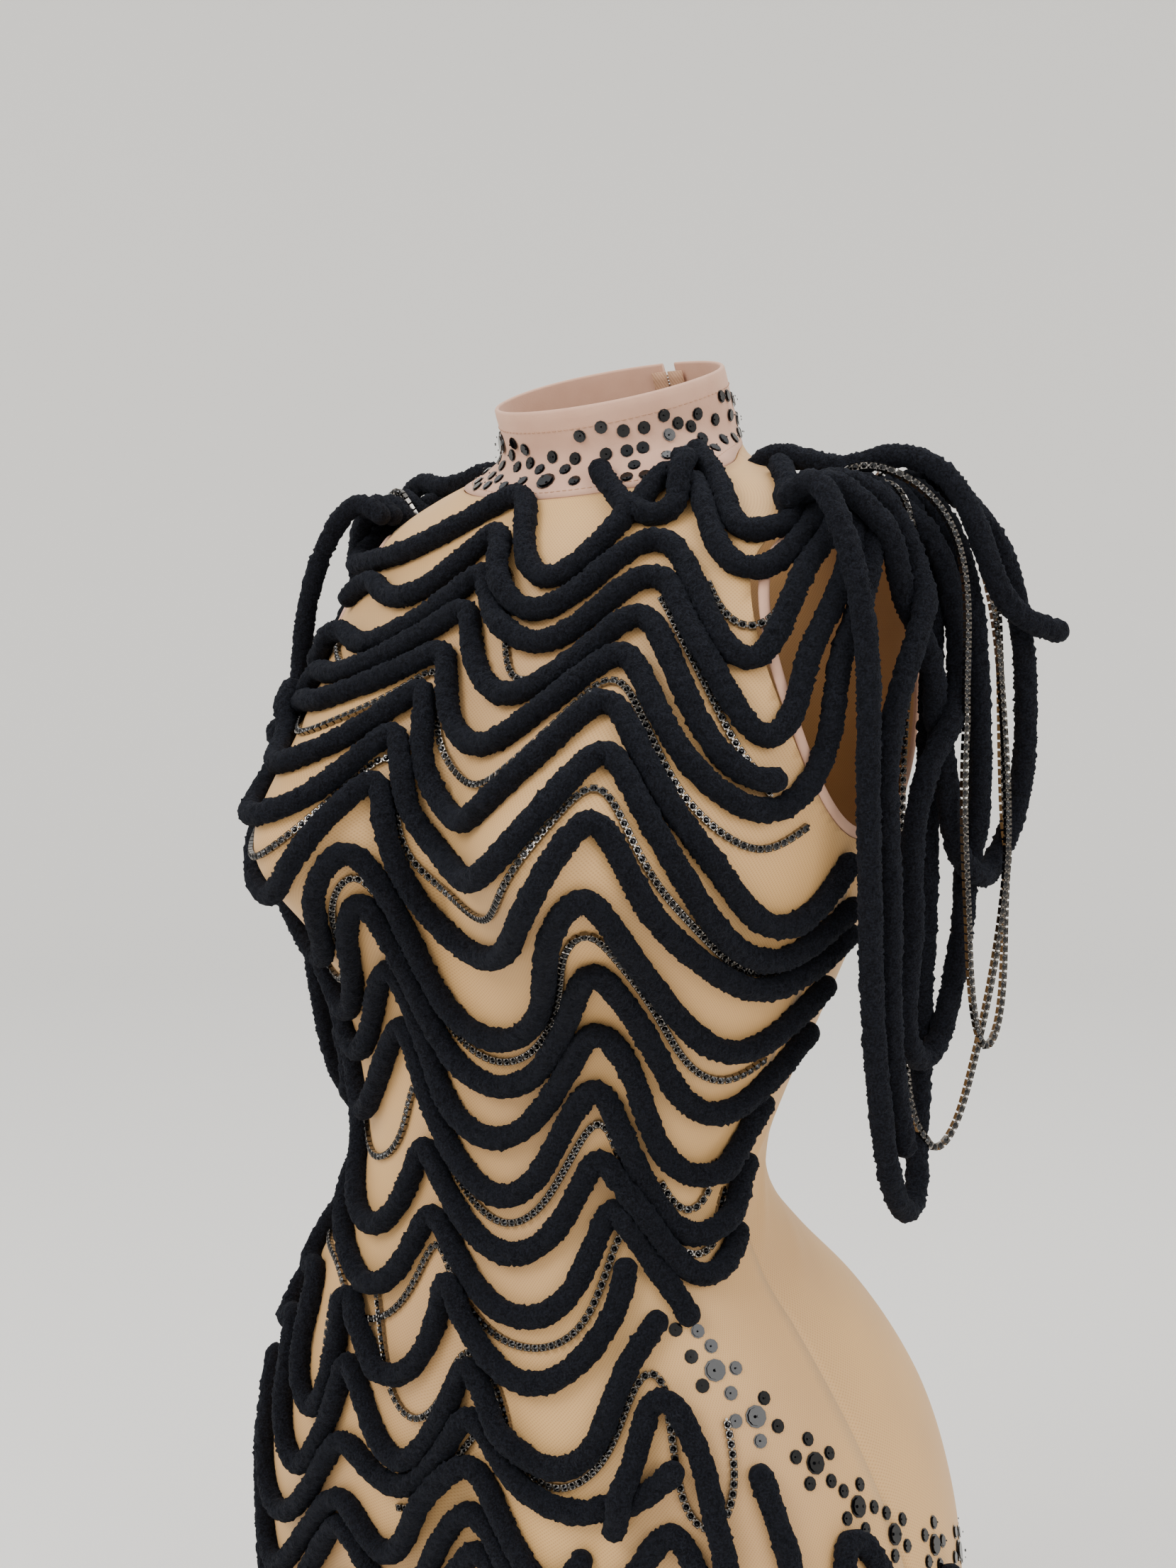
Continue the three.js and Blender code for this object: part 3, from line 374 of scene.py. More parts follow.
panel_cuts = {
    "front_panel": (lambda z: -90.0, lambda z: 90.0, (0.47, 0.66)),
    "back_panel_left": (lambda z: 90.0, zip_edge, (0.26, 0.66)),
    "back_panel_right": (lambda z: -zip_edge(z), lambda z: -90.0, (0.26, 0.66)),
}
for node, (start, finish, flat) in panel_cuts.items():
    cloth, cloth_area = panel(node + "_cloth", start, finish)
    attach(cloth, "bodice")
    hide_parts(node)

# ---- collar ----
# A stand collar of the same mesh used double and folded along its top edge, so it looks thicker
# and pinker than the body. It is sewn into the neck and open at the back over the zip.
band_cloth, shader = new_material("doubled_mesh_band", Roughness=0.78, Sheen_Weight=0.35,
                                  Sheen_Roughness=0.45, Sheen_Tint=linear("#efd6c6"))
place = put(band_cloth, "ShaderNodeTexCoord")
mottle = put(band_cloth, "ShaderNodeTexNoise", {"Vector": (place, "Object"), "Scale": 60.0, "Detail": 3.0})
pink = put(band_cloth, "ShaderNodeMix", {"Factor": (mottle, "Fac"), 6: linear("#bd9078"),
                                         7: linear("#cfa58c")}, data_type="RGBA")
feed(band_cloth, pink, 2, shader, "Base Color")
ribs = put(band_cloth, "ShaderNodeTexNoise", {"Vector": (place, "Object"), "Scale": 1100.0, "Detail": 1.0})
relief = put(band_cloth, "ShaderNodeBump", {"Height": (ribs, "Fac"), "Distance": 0.2 * MM, "Strength": 0.4})
feed(band_cloth, relief, "Normal", shader, "Normal")

collar_height = 40
fold_turns = 5
collar_edge = zip_edge(20.0)
collar_angles = np.linspace(-collar_edge, collar_edge, 150)


def band_strip(angles, sections):
    """Points of a band: for each (height share, offset) of its section, one row round the neck."""
    foot, head = neck_seam(angles), neck_seam(angles, collar_height)
    return np.array([off_body(angles, foot + (head - foot) * share, np.full(len(angles), offset))
                     for share, offset in sections])


outer = [(s, 0.5 + 0.25 * math.sin(9 * s)) for s in np.linspace(0.0, 0.97, 12)]
fold = [(0.97 + 0.03 * math.sin(t), -0.5 + math.cos(t)) for t in np.linspace(0.3, math.pi - 0.3, fold_turns)]
inner = [(s, -1.5) for s in np.linspace(0.97, 0.0, 6)]
collar_points = band_strip(collar_angles, outer + fold + inner) * MM


def grid_faces(rows, columns, round_rows=False, round_columns=False):
    """Quads of a grid of points, closed on itself where asked."""
    r = np.arange(rows if round_rows else rows - 1)
    c = np.arange(columns if round_columns else columns - 1)
    r, c = [g.ravel() for g in np.meshgrid(r, c, indexing="ij")]
    r2, c2 = (r + 1) % rows, (c + 1) % columns
    return np.stack([r * columns + c, r * columns + c2, r2 * columns + c2, r2 * columns + c], -1)


def closed_band(name, points, materials):
    """A band whose section is closed, with both of its ends capped."""
    rows, columns = points.shape[:2]
    faces = [tuple(f) for f in grid_faces(rows, columns, round_rows=True).tolist()]
    faces.append(tuple(int(r) * columns for r in range(rows)))
    faces.append(tuple(int(r) * columns + columns - 1 for r in reversed(range(rows))))
    return add_piece(name, points.reshape(-1, 3), faces, materials)


collar = closed_band("collar_band_cloth", collar_points, [band_cloth])
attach(collar, "bodice")
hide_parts("collar_band")

# ---- stitching ----
# Lines of thread hold the collar's fold and seam, the hem and the bindings; those of the collar and the hem
# are drawn. One stitch is a short round bar of thread whose ends go into the cloth; it is modelled once as a
# plain long ellipsoid and copied along each line.
thread, shader = new_material("polyester_thread", Base_Color=linear("#b58a6c"), Roughness=0.5)
stitch_length, stitch_width = 2.6 * MM, 0.55 * MM
bpy.ops.object.select_all(action="DESELECT")
bpy.ops.mesh.primitive_uv_sphere_add(segments=6, ring_count=4, radius=0.5)
stitch = bpy.context.object
stitch.name = "stitch"
stitch.scale = (stitch_length, stitch_width, stitch_width)
bpy.ops.object.transform_apply(location=False, rotation=False, scale=True)


def template_of(made):
    """The points, faces and face materials of a modelled piece, which is then removed."""
    mesh = made.data
    points = np.array([v.co for v in mesh.vertices], float)
    shape = ([tuple(p.vertices) for p in mesh.polygons], [p.material_index for p in mesh.polygons])
    bpy.data.objects.remove(made)
    return points, *shape


def copies(name, template, places, materials, smooth=False):
    """One piece of many copies of a template, at frames given as (origin, x, y, z directions)."""
    points, faces, shades = template
    origins, axes = [np.array(p) for p in places]
    spots = origins[:, None, :] + np.einsum("pk,nkj->npj", points, axes)
    shift = len(points)
    all_faces = [tuple(i + n * shift for i in face) for n in range(len(origins)) for face in faces]
    return add_piece(name, spots.reshape(-1, 3), all_faces, materials, smooth, shades * len(origins))


def along_line(path, pitch, outward):
    """Frames every pitch along a path of points: x runs along it and z points outwards."""
    steps = np.linalg.norm(np.diff(path, axis=0), axis=1)
    run = np.concatenate([[0], np.cumsum(steps)])
    count = max(2, int(run[-1] / pitch))
    at = (np.arange(count) + 0.5) * run[-1] / count
    spots = np.stack([np.interp(at, run, path[:, k]) for k in range(3)], -1)
    ahead = np.stack([np.interp(at + pitch / 2, run, path[:, k]) for k in range(3)], -1)
    behind = np.stack([np.interp(at - pitch / 2, run, path[:, k]) for k in range(3)], -1)
    out = np.stack([np.interp(at, run, outward[:, k]) for k in range(3)], -1)
    x = ahead - behind
    x /= np.linalg.norm(x, axis=1, keepdims=True)
    out -= x * np.sum(out * x, axis=1, keepdims=True)
    out /= np.linalg.norm(out, axis=1, keepdims=True)
    return spots, np.stack([x, np.cross(out, x), out], 1)


stitch_template = template_of(stitch)
stitch_pitch = 3.2 * MM


def stitch_line(name, angles, heights, offset):
    path = off_body(angles, heights, np.full(len(angles), offset)) * MM
    spots, axes = along_line(path, stitch_pitch, across_body(angles, heights)[2])
    line = copies(name, stitch_template, (spots, axes), [thread], smooth=True)
    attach(line, "bodice")
    return line


collar_foot, collar_head = neck_seam(collar_angles), neck_seam(collar_angles, collar_height)
stitch_line("collar_fold_stitches", collar_angles, collar_head - 9, 0.85)
stitch_line("collar_seam_stitches", collar_angles, collar_foot + 2.5, 0.75)

# ---- hem and armhole bindings ----
# The lower edge is turned up and stitched; each armhole is bound with a folded strip.
hem_drop, hem_depth, hem_proud = 640.3, 14, 0.9
hem_angles = np.linspace(-180, 180, 181)[:-1]
hem_section = [(0, 0.3), (-0.1, hem_proud), (-0.5, hem_proud), (-0.93, hem_proud), (-1.0, 0.0),
               (-0.93, -1.4), (-0.5, -1.5), (0, -1.4)]
hem_points = []
for share, offset in hem_section:
    ring = off_body(hem_angles, np.full(180, -hem_drop + share * hem_depth), np.full(180, offset))
    ring[:, 2] = -hem_drop + share * hem_depth
    hem_points.append(ring)
hem = add_piece("hem_band_cloth", np.array(hem_points[::-1]).reshape(-1, 3) * MM,
                grid_faces(len(hem_section), 180, True, True), [band_cloth])
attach(hem, "bodice")
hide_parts("hem_band")
round_angles = np.linspace(-180, 180, 361)
stitch_line("hem_stitches", round_angles, np.full(361, -hem_drop - hem_depth + 3.0), hem_proud + 0.1)

binding_half, binding_thick = 2.5, 1.3
armhole_turns = np.linspace(0, 2 * math.pi, 121)[:-1]
rim_reach = binding_half + 0.3
rim_y = armhole["y"] + (armhole["across"] - rim_reach) * np.cos(armhole_turns)
rim_z = armhole["z"] + (armhole["up"] - rim_reach) * np.sin(armhole_turns)
rim_angles = angle_at(rim_y, rim_z)
rim_line = off_body(rim_angles, rim_z, np.full(120, -0.75))
rim_out = across_body(rim_angles, rim_z)[2]
for side, sign in (("left", 1), ("right", -1)):
    flip = np.array([sign, 1, 1])
    along = np.roll(rim_line, -1, axis=0) - np.roll(rim_line, 1, axis=0)
    along /= np.linalg.norm(along, axis=1, keepdims=True)
    across = np.cross(rim_out, along)
    rings = [(rim_line + across * binding_half * math.cos(t) + rim_out * binding_thick * math.sin(t)) * flip
             for t in np.linspace(0, 2 * math.pi, 13)[:-1]]
    order = rings if sign > 0 else rings[::-1]
    binding = add_piece(side + "_armhole_binding_cloth", np.array(order).reshape(-1, 3) * MM,
                        grid_faces(12, 120, True, True), [band_cloth])
    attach(binding, "bodice")
    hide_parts(side + "_armhole_binding")

# ---- zip ----
# A nylon coil zip, closed at the neck: two woven tapes, the coil, a clamped stop at the foot, and
# a die-cast slider with its pull tab.
woven_tape, shader = new_material("woven_polyester_tape", Roughness=0.8)
place = put(woven_tape, "ShaderNodeTexCoord")
twill = put(woven_tape, "ShaderNodeTexWave", {"Vector": (place, "Object"), "Scale": math.pi / 10 / (0.9 * MM),
                                              "Distortion": 0.5}, bands_direction="DIAGONAL")
tape_tan = put(woven_tape, "ShaderNodeMix", {"Factor": (twill, "Fac"), 6: linear("#a98163"),
                                             7: linear("#bd9576")}, data_type="RGBA")
feed(woven_tape, tape_tan, 2, shader, "Base Color")
relief = put(woven_tape, "ShaderNodeBump", {"Height": (twill, "Fac"), "Distance": 0.2 * MM, "Strength": 0.5})
feed(woven_tape, relief, "Normal", shader, "Normal")
tape_wall = 0.6


def on_zip(x, z, out):
    """A point in metres near the centre back arc: x across, z its height, out beyond the arc."""
    radius = zip_arc["radius"]
    turn = np.arcsin((z - zip_arc["z"]) / radius)
    return np.array([x, zip_arc["y"] + (radius + out) * np.cos(turn),
                     zip_arc["z"] + (radius + out) * np.sin(turn)]) * MM


for side, sign in (("left", 1), ("right", -1)):
    low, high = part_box("zip_tape_" + side)
    heights = np.linspace(low.z / MM + 0.3, high.z / MM - 0.3, 90)
    section = [(0.6, -3.6), (0.6, -3.6 - tape_wall), (5.0, -3.7 - tape_wall), (9.5, -3.6 - tape_wall),
               (9.6, -3.9), (9.5, -3.6), (5.0, -3.5)]
    rows = np.array([[on_zip(sign * x, z, out) for z in heights] for x, out in section])
    tape = closed_band("zip_tape_" + side + "_woven", rows if sign > 0 else rows[::-1], [woven_tape])
    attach(tape, "bodice")
    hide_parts("zip_tape_" + side)

# Nylon monofilament: a slight gloss on each turn of the coil.
nylon, shader = new_material("nylon_monofilament", Base_Color=linear("#a27f61"), Roughness=0.38)
coil_pitch = 1.5
bpy.ops.object.select_all(action="DESELECT")
bpy.ops.mesh.primitive_cube_add(size=1)
tooth = bpy.context.object
tooth.scale = (0.85 * MM, 2.5 * MM, 2.0 * MM)
bpy.ops.object.transform_apply(location=False, rotation=False, scale=True)
modify(tooth, "BEVEL", width=0.32 * MM, segments=1)
tooth_template = template_of(tooth)
coil_low, coil_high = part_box("zip_coil")
heights = np.arange(coil_low.z / MM + 1, coil_high.z / MM - 1, coil_pitch / 2)
spots = np.array([on_zip(0.95 if i % 2 else -0.95, z, -2.05) for i, z in enumerate(heights)])
turns = np.arcsin((heights - zip_arc["z"]) / zip_arc["radius"])
axes = np.array([[(0, -math.sin(t), math.cos(t)), (1, 0, 0), (0, math.cos(t), math.sin(t))] for t in turns])
coil = copies("zip_coil_teeth", tooth_template, (spots, axes), [nylon])
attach(coil, "bodice")
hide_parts("zip_coil")

# Nickel plate over die-cast zinc: a soft bright grey with fine handling scratches.
nickel, shader = new_material("nickel_plated_zinc", Base_Color=linear("#b9b6b0"), Metallic=1.0)
place = put(nickel, "ShaderNodeTexCoord")
scratches = put(nickel, "ShaderNodeTexNoise", {"Vector": (place, "Object"), "Scale": 900.0, "Detail": 2.0})
wear = put(nickel, "ShaderNodeMapRange", {"Value": (scratches, "Fac"), "To Min": 0.18, "To Max": 0.4})
feed(nickel, wear, "Result", shader, "Roughness")
for node, body in (("zip_slider", "zip_slider"), ("zip_pull_tab", "zip_pull_tab"),
                   ("zip_bottom_stop", "bodice")):
    cast = bpy.data.objects.new(node + "_cast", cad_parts[node].data.copy())
    bpy.context.scene.collection.objects.link(cast)
    cast.data.materials.clear()
    cast.data.materials.append(nickel)
    modify(cast, "WELD", merge_threshold=0.01 * MM)
    modify(cast, "BEVEL", width=0.22 * MM, segments=2, limit_method="ANGLE")
    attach(cast, body)
    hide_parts(node)

# ---- strands: where cords and chains lie ----
# Cords and chains are sewn down row by row. Points are [angle, drop below the neck point]. Each
# row hangs in swags between its peaks; the wearer's right repeats the left, moved round a little.
mirror_shift = 20


def on_the_right(side):
    return [(-angle - mirror_shift, drop) for angle, drop in reversed(side)]


def whole_row(row):
    return on_the_right(row["side"]) + row["middle"] + row["side"]


shoulder_rows = [
    [(-88, 12), (-80, 30), (-70, 42), (-60, 47), (-45, 46), (-30, 42), (-15, 26), (-3, 11), (4, 25),
     (7, 45), (13, 60), (19, 52), (25, 33), (34, 12), (41, 4), (42, 26), (42, 40), (47, 56),
     (54, 52), (59, 40), (66, 24), (72, 12)],
    [(-46, 66), (-41, 56), (-36, 52), (-30, 62), (-20, 65), (-11, 50), (-3, 28), (0, 42), (3, 60),
     (10, 73), (18, 66), (25, 48), (33, 34), (38, 52), (41, 75), (46, 91), (51, 96), (54, 82),
     (56, 62), (61, 42), (69, 28)],
    [(-50, 98), (-44, 88), (-38, 76), (-32, 84), (-24, 88), (-15, 78), (-7, 62), (0, 45), (2, 62),
     (7, 80), (14, 87), (20, 79), (26, 62), (33, 50), (37, 66), (42, 88), (49, 110), (56, 128),
     (61, 112), (60, 90), (65, 66), (70, 42), (74, 22)],
    [(-54, 126), (-48, 114), (-42, 96), (-36, 101), (-28, 101), (-18, 90), (-9, 76), (-2, 62),
     (-1, 80), (2, 97), (8, 109), (14, 107), (20, 94), (26, 78), (31, 66), (35, 84), (40, 102),
     (45, 120), (53, 138), (62, 142)],
    [(-62, 150), (-54, 136), (-47, 120), (-40, 112), (-31, 116), (-20, 106), (-11, 95), (-4, 82),
     (-4, 98), (-2, 116), (4, 130), (12, 128), (18, 113), (24, 96), (29, 83), (34, 102), (39, 118),
     (45, 134), (54, 149), (63, 155), (69, 140), (69, 115), (67, 92), (72, 60), (77, 38), (80, 23)],
]
torso_rows = [
    {"middle": [(-50, 106), (-43, 130), (-29, 145), (-18, 131), (-11, 115), (-5, 99), (-4, 118),
                (-4, 138), (2, 158), (10, 162), (17, 150), (22, 131), (29, 103)],
     "side": [(34, 120), (41, 139), (48, 158), (56, 174), (63, 192), (72, 205), (80, 203),
              (84, 186), (86, 174)]},
    {"middle": [(-52, 124), (-43, 155), (-28, 167), (-18, 156), (-13, 138), (-8, 119), (-7, 138),
                (-4, 162), (4, 179), (14, 183), (23, 176), (28, 150), (33, 124)],
     "side": [(39, 144), (46, 164), (53, 184), (60, 203), (68, 217), (77, 221), (86, 211), (92, 197)]},
    {"middle": [(-54, 148), (-44, 185), (-29, 200), (-20, 186), (-14, 162), (-8, 140), (-6, 160),
                (-4, 188), (0, 211), (8, 221), (18, 213), (27, 193), (32, 170), (36, 150)],
     "side": [(41, 170), (45, 184), (49, 198), (56, 213), (65, 227), (76, 234), (88, 225), (96, 210)]},
    {"middle": [(-58, 176), (-50, 215), (-38, 236), (-25, 222), (-18, 196), (-10, 171), (-7, 195),
                (-5, 228), (0, 254), (9, 263), (19, 250), (27, 216), (32, 196), (37, 178)],
     "side": [(42, 200), (48, 228), (57, 251), (70, 263), (84, 256), (96, 234)]},
    {"middle": [(-60, 208), (-50, 250), (-38, 267), (-26, 248), (-18, 220), (-10, 193), (-7, 220),
                (-5, 252), (0, 276), (9, 285), (18, 277), (26, 250), (31, 230), (36, 213)],
     "side": [(41, 234), (49, 260), (59, 284), (73, 293), (87, 281), (98, 256)]},
    {"middle": [(-62, 238), (-50, 276), (-37, 286), (-26, 272), (-18, 248), (-10, 226), (-7, 250),
                (-5, 282), (0, 302), (9, 310), (18, 301), (26, 273), (33, 243)],
     "side": [(40, 258), (49, 287), (58, 312), (71, 323), (83, 315), (91, 286)]},
    {"middle": [(-66, 270), (-56, 302), (-44, 318), (-30, 300), (-19, 276), (-10, 254), (-8, 278),
                (-4, 308), (4, 328), (14, 337), (22, 325), (29, 292), (35, 270)],
     "side": [(42, 296), (50, 325), (60, 345), (72, 351), (83, 340), (91, 314)]},
    {"middle": [(-68, 306), (-58, 332), (-44, 352), (-30, 366), (-20, 362), (-14, 340), (-9, 309),
                (-4, 330), (4, 350), (14, 361), (24, 354), (32, 335), (40, 302)],
     "side": [(47, 318), (54, 343), (64, 366), (76, 364), (85, 344)]},
    {"middle": [(-66, 342), (-52, 366), (-40, 372), (-29, 385), (-17, 393), (-10, 374), (-5, 340),
                (0, 360), (6, 378), (16, 386), (27, 379), (36, 356), (46, 324)],
     "side": [(52, 342), (57, 362), (59, 382)]},
]
front_rows = [
    [(-72, 372), (-62, 398), (-51, 406), (-44, 392), (-39, 412), (-37, 435), (-33, 455), (-28, 464),
     (-24, 463), (-22, 449), (-22, 431), (-23, 410), (-25, 391), (-21, 396), (-16, 411), (-13, 424),
     (-9, 430), (-5, 428), (-3, 418), (-1, 404), (0, 388), (1, 366), (3, 378), (5, 394), (8, 407),
     (13, 413), (19, 413), (26, 403), (33, 391), (40, 378), (49, 351)],
    [(-80, 396), (-68, 430), (-56, 440), (-47, 420), (-43, 430), (-41, 455), (-37, 484), (-31, 497),
     (-27, 495), (-23, 478), (-20, 456), (-20, 437), (-19, 421), (-16, 430), (-11, 448), (-8, 463),
     (-4, 470), (-1, 462), (0, 448), (2, 430), (4, 402), (6, 409), (8, 424), (10, 435), (14, 445),
     (20, 448), (26, 441), (30, 427), (34, 410), (39, 396), (47, 384), (54, 376)],
    [(-92, 428), (-80, 470), (-68, 478), (-58, 452), (-54, 468), (-52, 500), (-47, 524), (-39, 531),
     (-31, 521), (-24, 501), (-20, 481), (-16, 461), (-13, 467), (-9, 477), (-4, 480), (-1, 472),
     (1, 452), (4, 426), (7, 432), (9, 446), (13, 457), (18, 462), (23, 464), (29, 457), (35, 451),
     (40, 443), (45, 434)],
    [(-96, 466), (-84, 512), (-70, 520), (-60, 494), (-55, 512), (-52, 544), (-46, 567), (-38, 560),
     (-28, 534), (-20, 506), (-15, 490), (-12, 499), (-9, 514), (-6, 518), (-3, 502), (-1, 480),
     (1, 462), (4, 448), (7, 456), (8, 470), (10, 484), (13, 499), (17, 503), (21, 493), (23, 478)],
    [(-98, 508), (-86, 552), (-72, 562), (-62, 538), (-56, 560), (-52, 588), (-44, 596), (-36, 582),
     (-27, 552), (-20, 524), (-15, 503), (-12, 514), (-9, 531), (-5, 539), (-2, 526), (0, 504),
     (2, 482), (5, 470), (8, 478), (10, 496), (14, 510), (19, 513), (26, 499), (31, 486), (35, 471),
     (40, 456), (42, 466), (43, 484)],
    [(-98, 548), (-88, 594), (-74, 602), (-64, 582), (-57, 604), (-52, 628), (-44, 628), (-35, 609),
     (-25, 574), (-16, 537), (-12, 551), (-8, 562), (-4, 561), (-1, 543), (1, 517), (4, 495),
     (6, 485), (9, 503), (12, 523), (18, 528), (24, 516), (30, 501), (36, 487), (39, 492), (42, 512)],
]
chain_rows = [
    {"middle": [(-54, 100), (-44, 120), (-30, 129), (-20, 118), (-11, 105), (-5, 90), (-4, 108),
                (-3, 128), (3, 144), (11, 146), (17, 133), (22, 114), (28, 93)],
     "side": [(34, 111), (40, 128), (46, 146), (55, 162), (64, 172), (72, 160)]},
    {"middle": [(-53, 136), (-44, 170), (-28, 184), (-19, 171), (-13, 150), (-8, 129), (-6, 149),
                (-5, 174), (2, 195), (12, 202), (21, 192), (28, 165), (34, 137)],
     "side": [(40, 157), (47, 180), (55, 199), (66, 222), (76, 228), (87, 218)]},
    {"middle": [(-59, 192), (-50, 232), (-38, 251), (-26, 235), (-18, 208), (-10, 182), (-7, 208),
                (-5, 240), (0, 265), (9, 274), (18, 264), (26, 233), (37, 196)],
     "side": [(42, 217), (49, 244), (58, 268), (72, 278), (86, 268)]},
    {"middle": [(-67, 288), (-57, 317), (-44, 335), (-30, 334), (-19, 318), (-11, 281), (-8, 300),
                (-4, 319), (4, 339), (14, 349), (23, 339), (30, 314), (38, 286)],
     "side": [(44, 307), (52, 334), (62, 356), (73, 358), (84, 329)]},
    {"middle": [(-58, 386), (-47, 388), (-35, 388), (-20, 409), (-12, 404), (-8, 390), (-3, 353),
                (1, 376), (8, 395), (18, 398), (29, 389), (38, 366), (49, 334)],
     "side": []},
]
hip_loop = [(61, 436), (62, 480), (60, 540), (62, 590), (68, 604), (73, 590), (73, 540), (74, 470),
            (78, 466), (83, 486), (84, 540), (85, 590), (91, 604), (97, 590), (97, 550), (99, 506)]
cord_diameter = 10.4
chain_diameter = 3.4
strands = []


def smooth_points(points, step, weights=(1.0, 1.0, 1.0)):
    """A smooth curve through points, sampled about every step of its own length."""
    points = np.asarray(points, float)
    scaled = points * np.asarray(weights)[:points.shape[1]]
    padded = np.vstack([2 * points[0] - points[1], points, 2 * points[-1] - points[-2]])
    gaps = np.sqrt(np.maximum(np.linalg.norm(np.diff(scaled, axis=0), axis=1), 1e-9))
    gaps = np.concatenate([gaps[:1], gaps, gaps[-1:]])
    curve = []
    for i in range(len(points) - 1):
        a, b, c, d = padded[i:i + 4]
        ga, gb, gc = gaps[i], gaps[i + 1], gaps[i + 2]
        ma = (b - a) / ga - (c - a) / (ga + gb) + (c - b) / gb
        mb = (c - b) / gb - (d - b) / (gb + gc) + (d - c) / gc
        s = np.linspace(0, 1, max(2, int(np.ceil(gb ** 2 / step))), endpoint=False)[:, None]
        curve.append((2 * s ** 3 - 3 * s ** 2 + 1) * b + (s ** 3 - 2 * s ** 2 + s) * ma * gb
                     + (3 * s ** 2 - 2 * s ** 3) * c + (s ** 3 - s ** 2) * mb * gb)
    return np.vstack(curve + [points[-1:]])


def resample(path, step):
    """The same line with its points evenly spaced, and the place of each along the old points."""
    run = np.concatenate([[0], np.cumsum(np.linalg.norm(np.diff(path, axis=0), axis=1))])
    count = max(2, int(round(run[-1] / step)))
    at = np.linspace(0, run[-1], count + 1)
    return np.stack([np.interp(at, run, path[:, k]) for k in range(path.shape[1])], -1), run, at


curve_step, strand_step = 2.0, 5.0


def lay(name, points, kind, nodes=()):
    """A strand sewn to the body through [angle, drop] points."""
    curve = smooth_points(points, curve_step, weights=(2.4, 1.0))
    curve[:, 1] *= -1
    places = on_body(curve[:, 0], curve[:, 1])
    _, run, at = resample(places, strand_step)
    strands.append({"name": name, "kind": kind, "nodes": nodes, "sewn": True,
                    "angle": np.interp(at, run, curve[:, 0]), "z": np.interp(at, run, curve[:, 1])})


def hang(name, points, kind, nodes=(), body=None):
    """A free strand through points in mm."""
    path, _, _ = resample(smooth_points(points, curve_step), strand_step)
    strands.append({"name": name, "kind": kind, "nodes": nodes, "sewn": False, "at": path, "body": body})


cord_rows = shoulder_rows + [whole_row(row) for row in torso_rows] + front_rows
for i, row in enumerate(cord_rows):
    lay(f"plush_cord_row_{i + 1:02d}", row, "cord", [f"cord_row_{i + 1:02d}"])
for i, row in enumerate(chain_rows):
    lay(f"cup_chain_row_{i + 1:02d}", whole_row(row), "chain", [f"chain_row_{i + 1:02d}"])
lay("plush_hip_loop_left", hip_loop, "cord", ["hip_loop_left"])
lay("plush_hip_loop_right", on_the_right(hip_loop), "cord", ["hip_loop_right"])

# Short ends and loops that fill in between the rows, near the left shoulder and below the waist.
short_cords = [
    [(60, -5), (49, 8), (45, 31), (48, 40), (54, 34), (60, 24), (66, 12), (78, 4)],
    [(20, 3), (25, 18), (33, 33), (39, 22), (44, 2)],
    [(28, 468), (32, 454), (35, 438), (38, 423), (41, 408), (44, 402), (46, 407), (48, 420),
     (49, 438), (49, 458), (49, 476), (48, 492)],
]
for i, points in enumerate(short_cords):
    lay(f"plush_cord_short_{i + 1}", points, "cord")
short_chains = [
    [(40, 57), (44, 74), (49, 81), (54, 74), (57, 57)],
    [(-4, 45), (3, 45), (6, 80), (9, 103), (15, 100), (20, 88)],
    [(34, 62), (42, 92), (52, 128), (62, 146)],
    [(-17, 392), (-11, 417), (-8, 437), (-3, 449), (0, 436), (2, 410), (4, 398), (8, 407),
     (10, 428), (12, 449), (17, 459), (24, 450), (30, 436), (35, 416), (40, 398), (44, 393),
     (46, 403), (44, 428), (42, 450), (45, 467), (50, 463), (56, 441), (58, 418)],
    [(57, 322), (62, 336), (67, 342), (74, 336), (80, 318)],
    [(-44, 80), (-30, 98), (-18, 88)],
    [(-32, 404), (-29, 424), (-25, 446)],
    [(-5, 489), (-2, 489), (0, 474), (2, 456), (5, 441)],
]
for i, points in enumerate(short_chains):
    lay(f"cup_chain_short_{i + 1}", points, "chain")

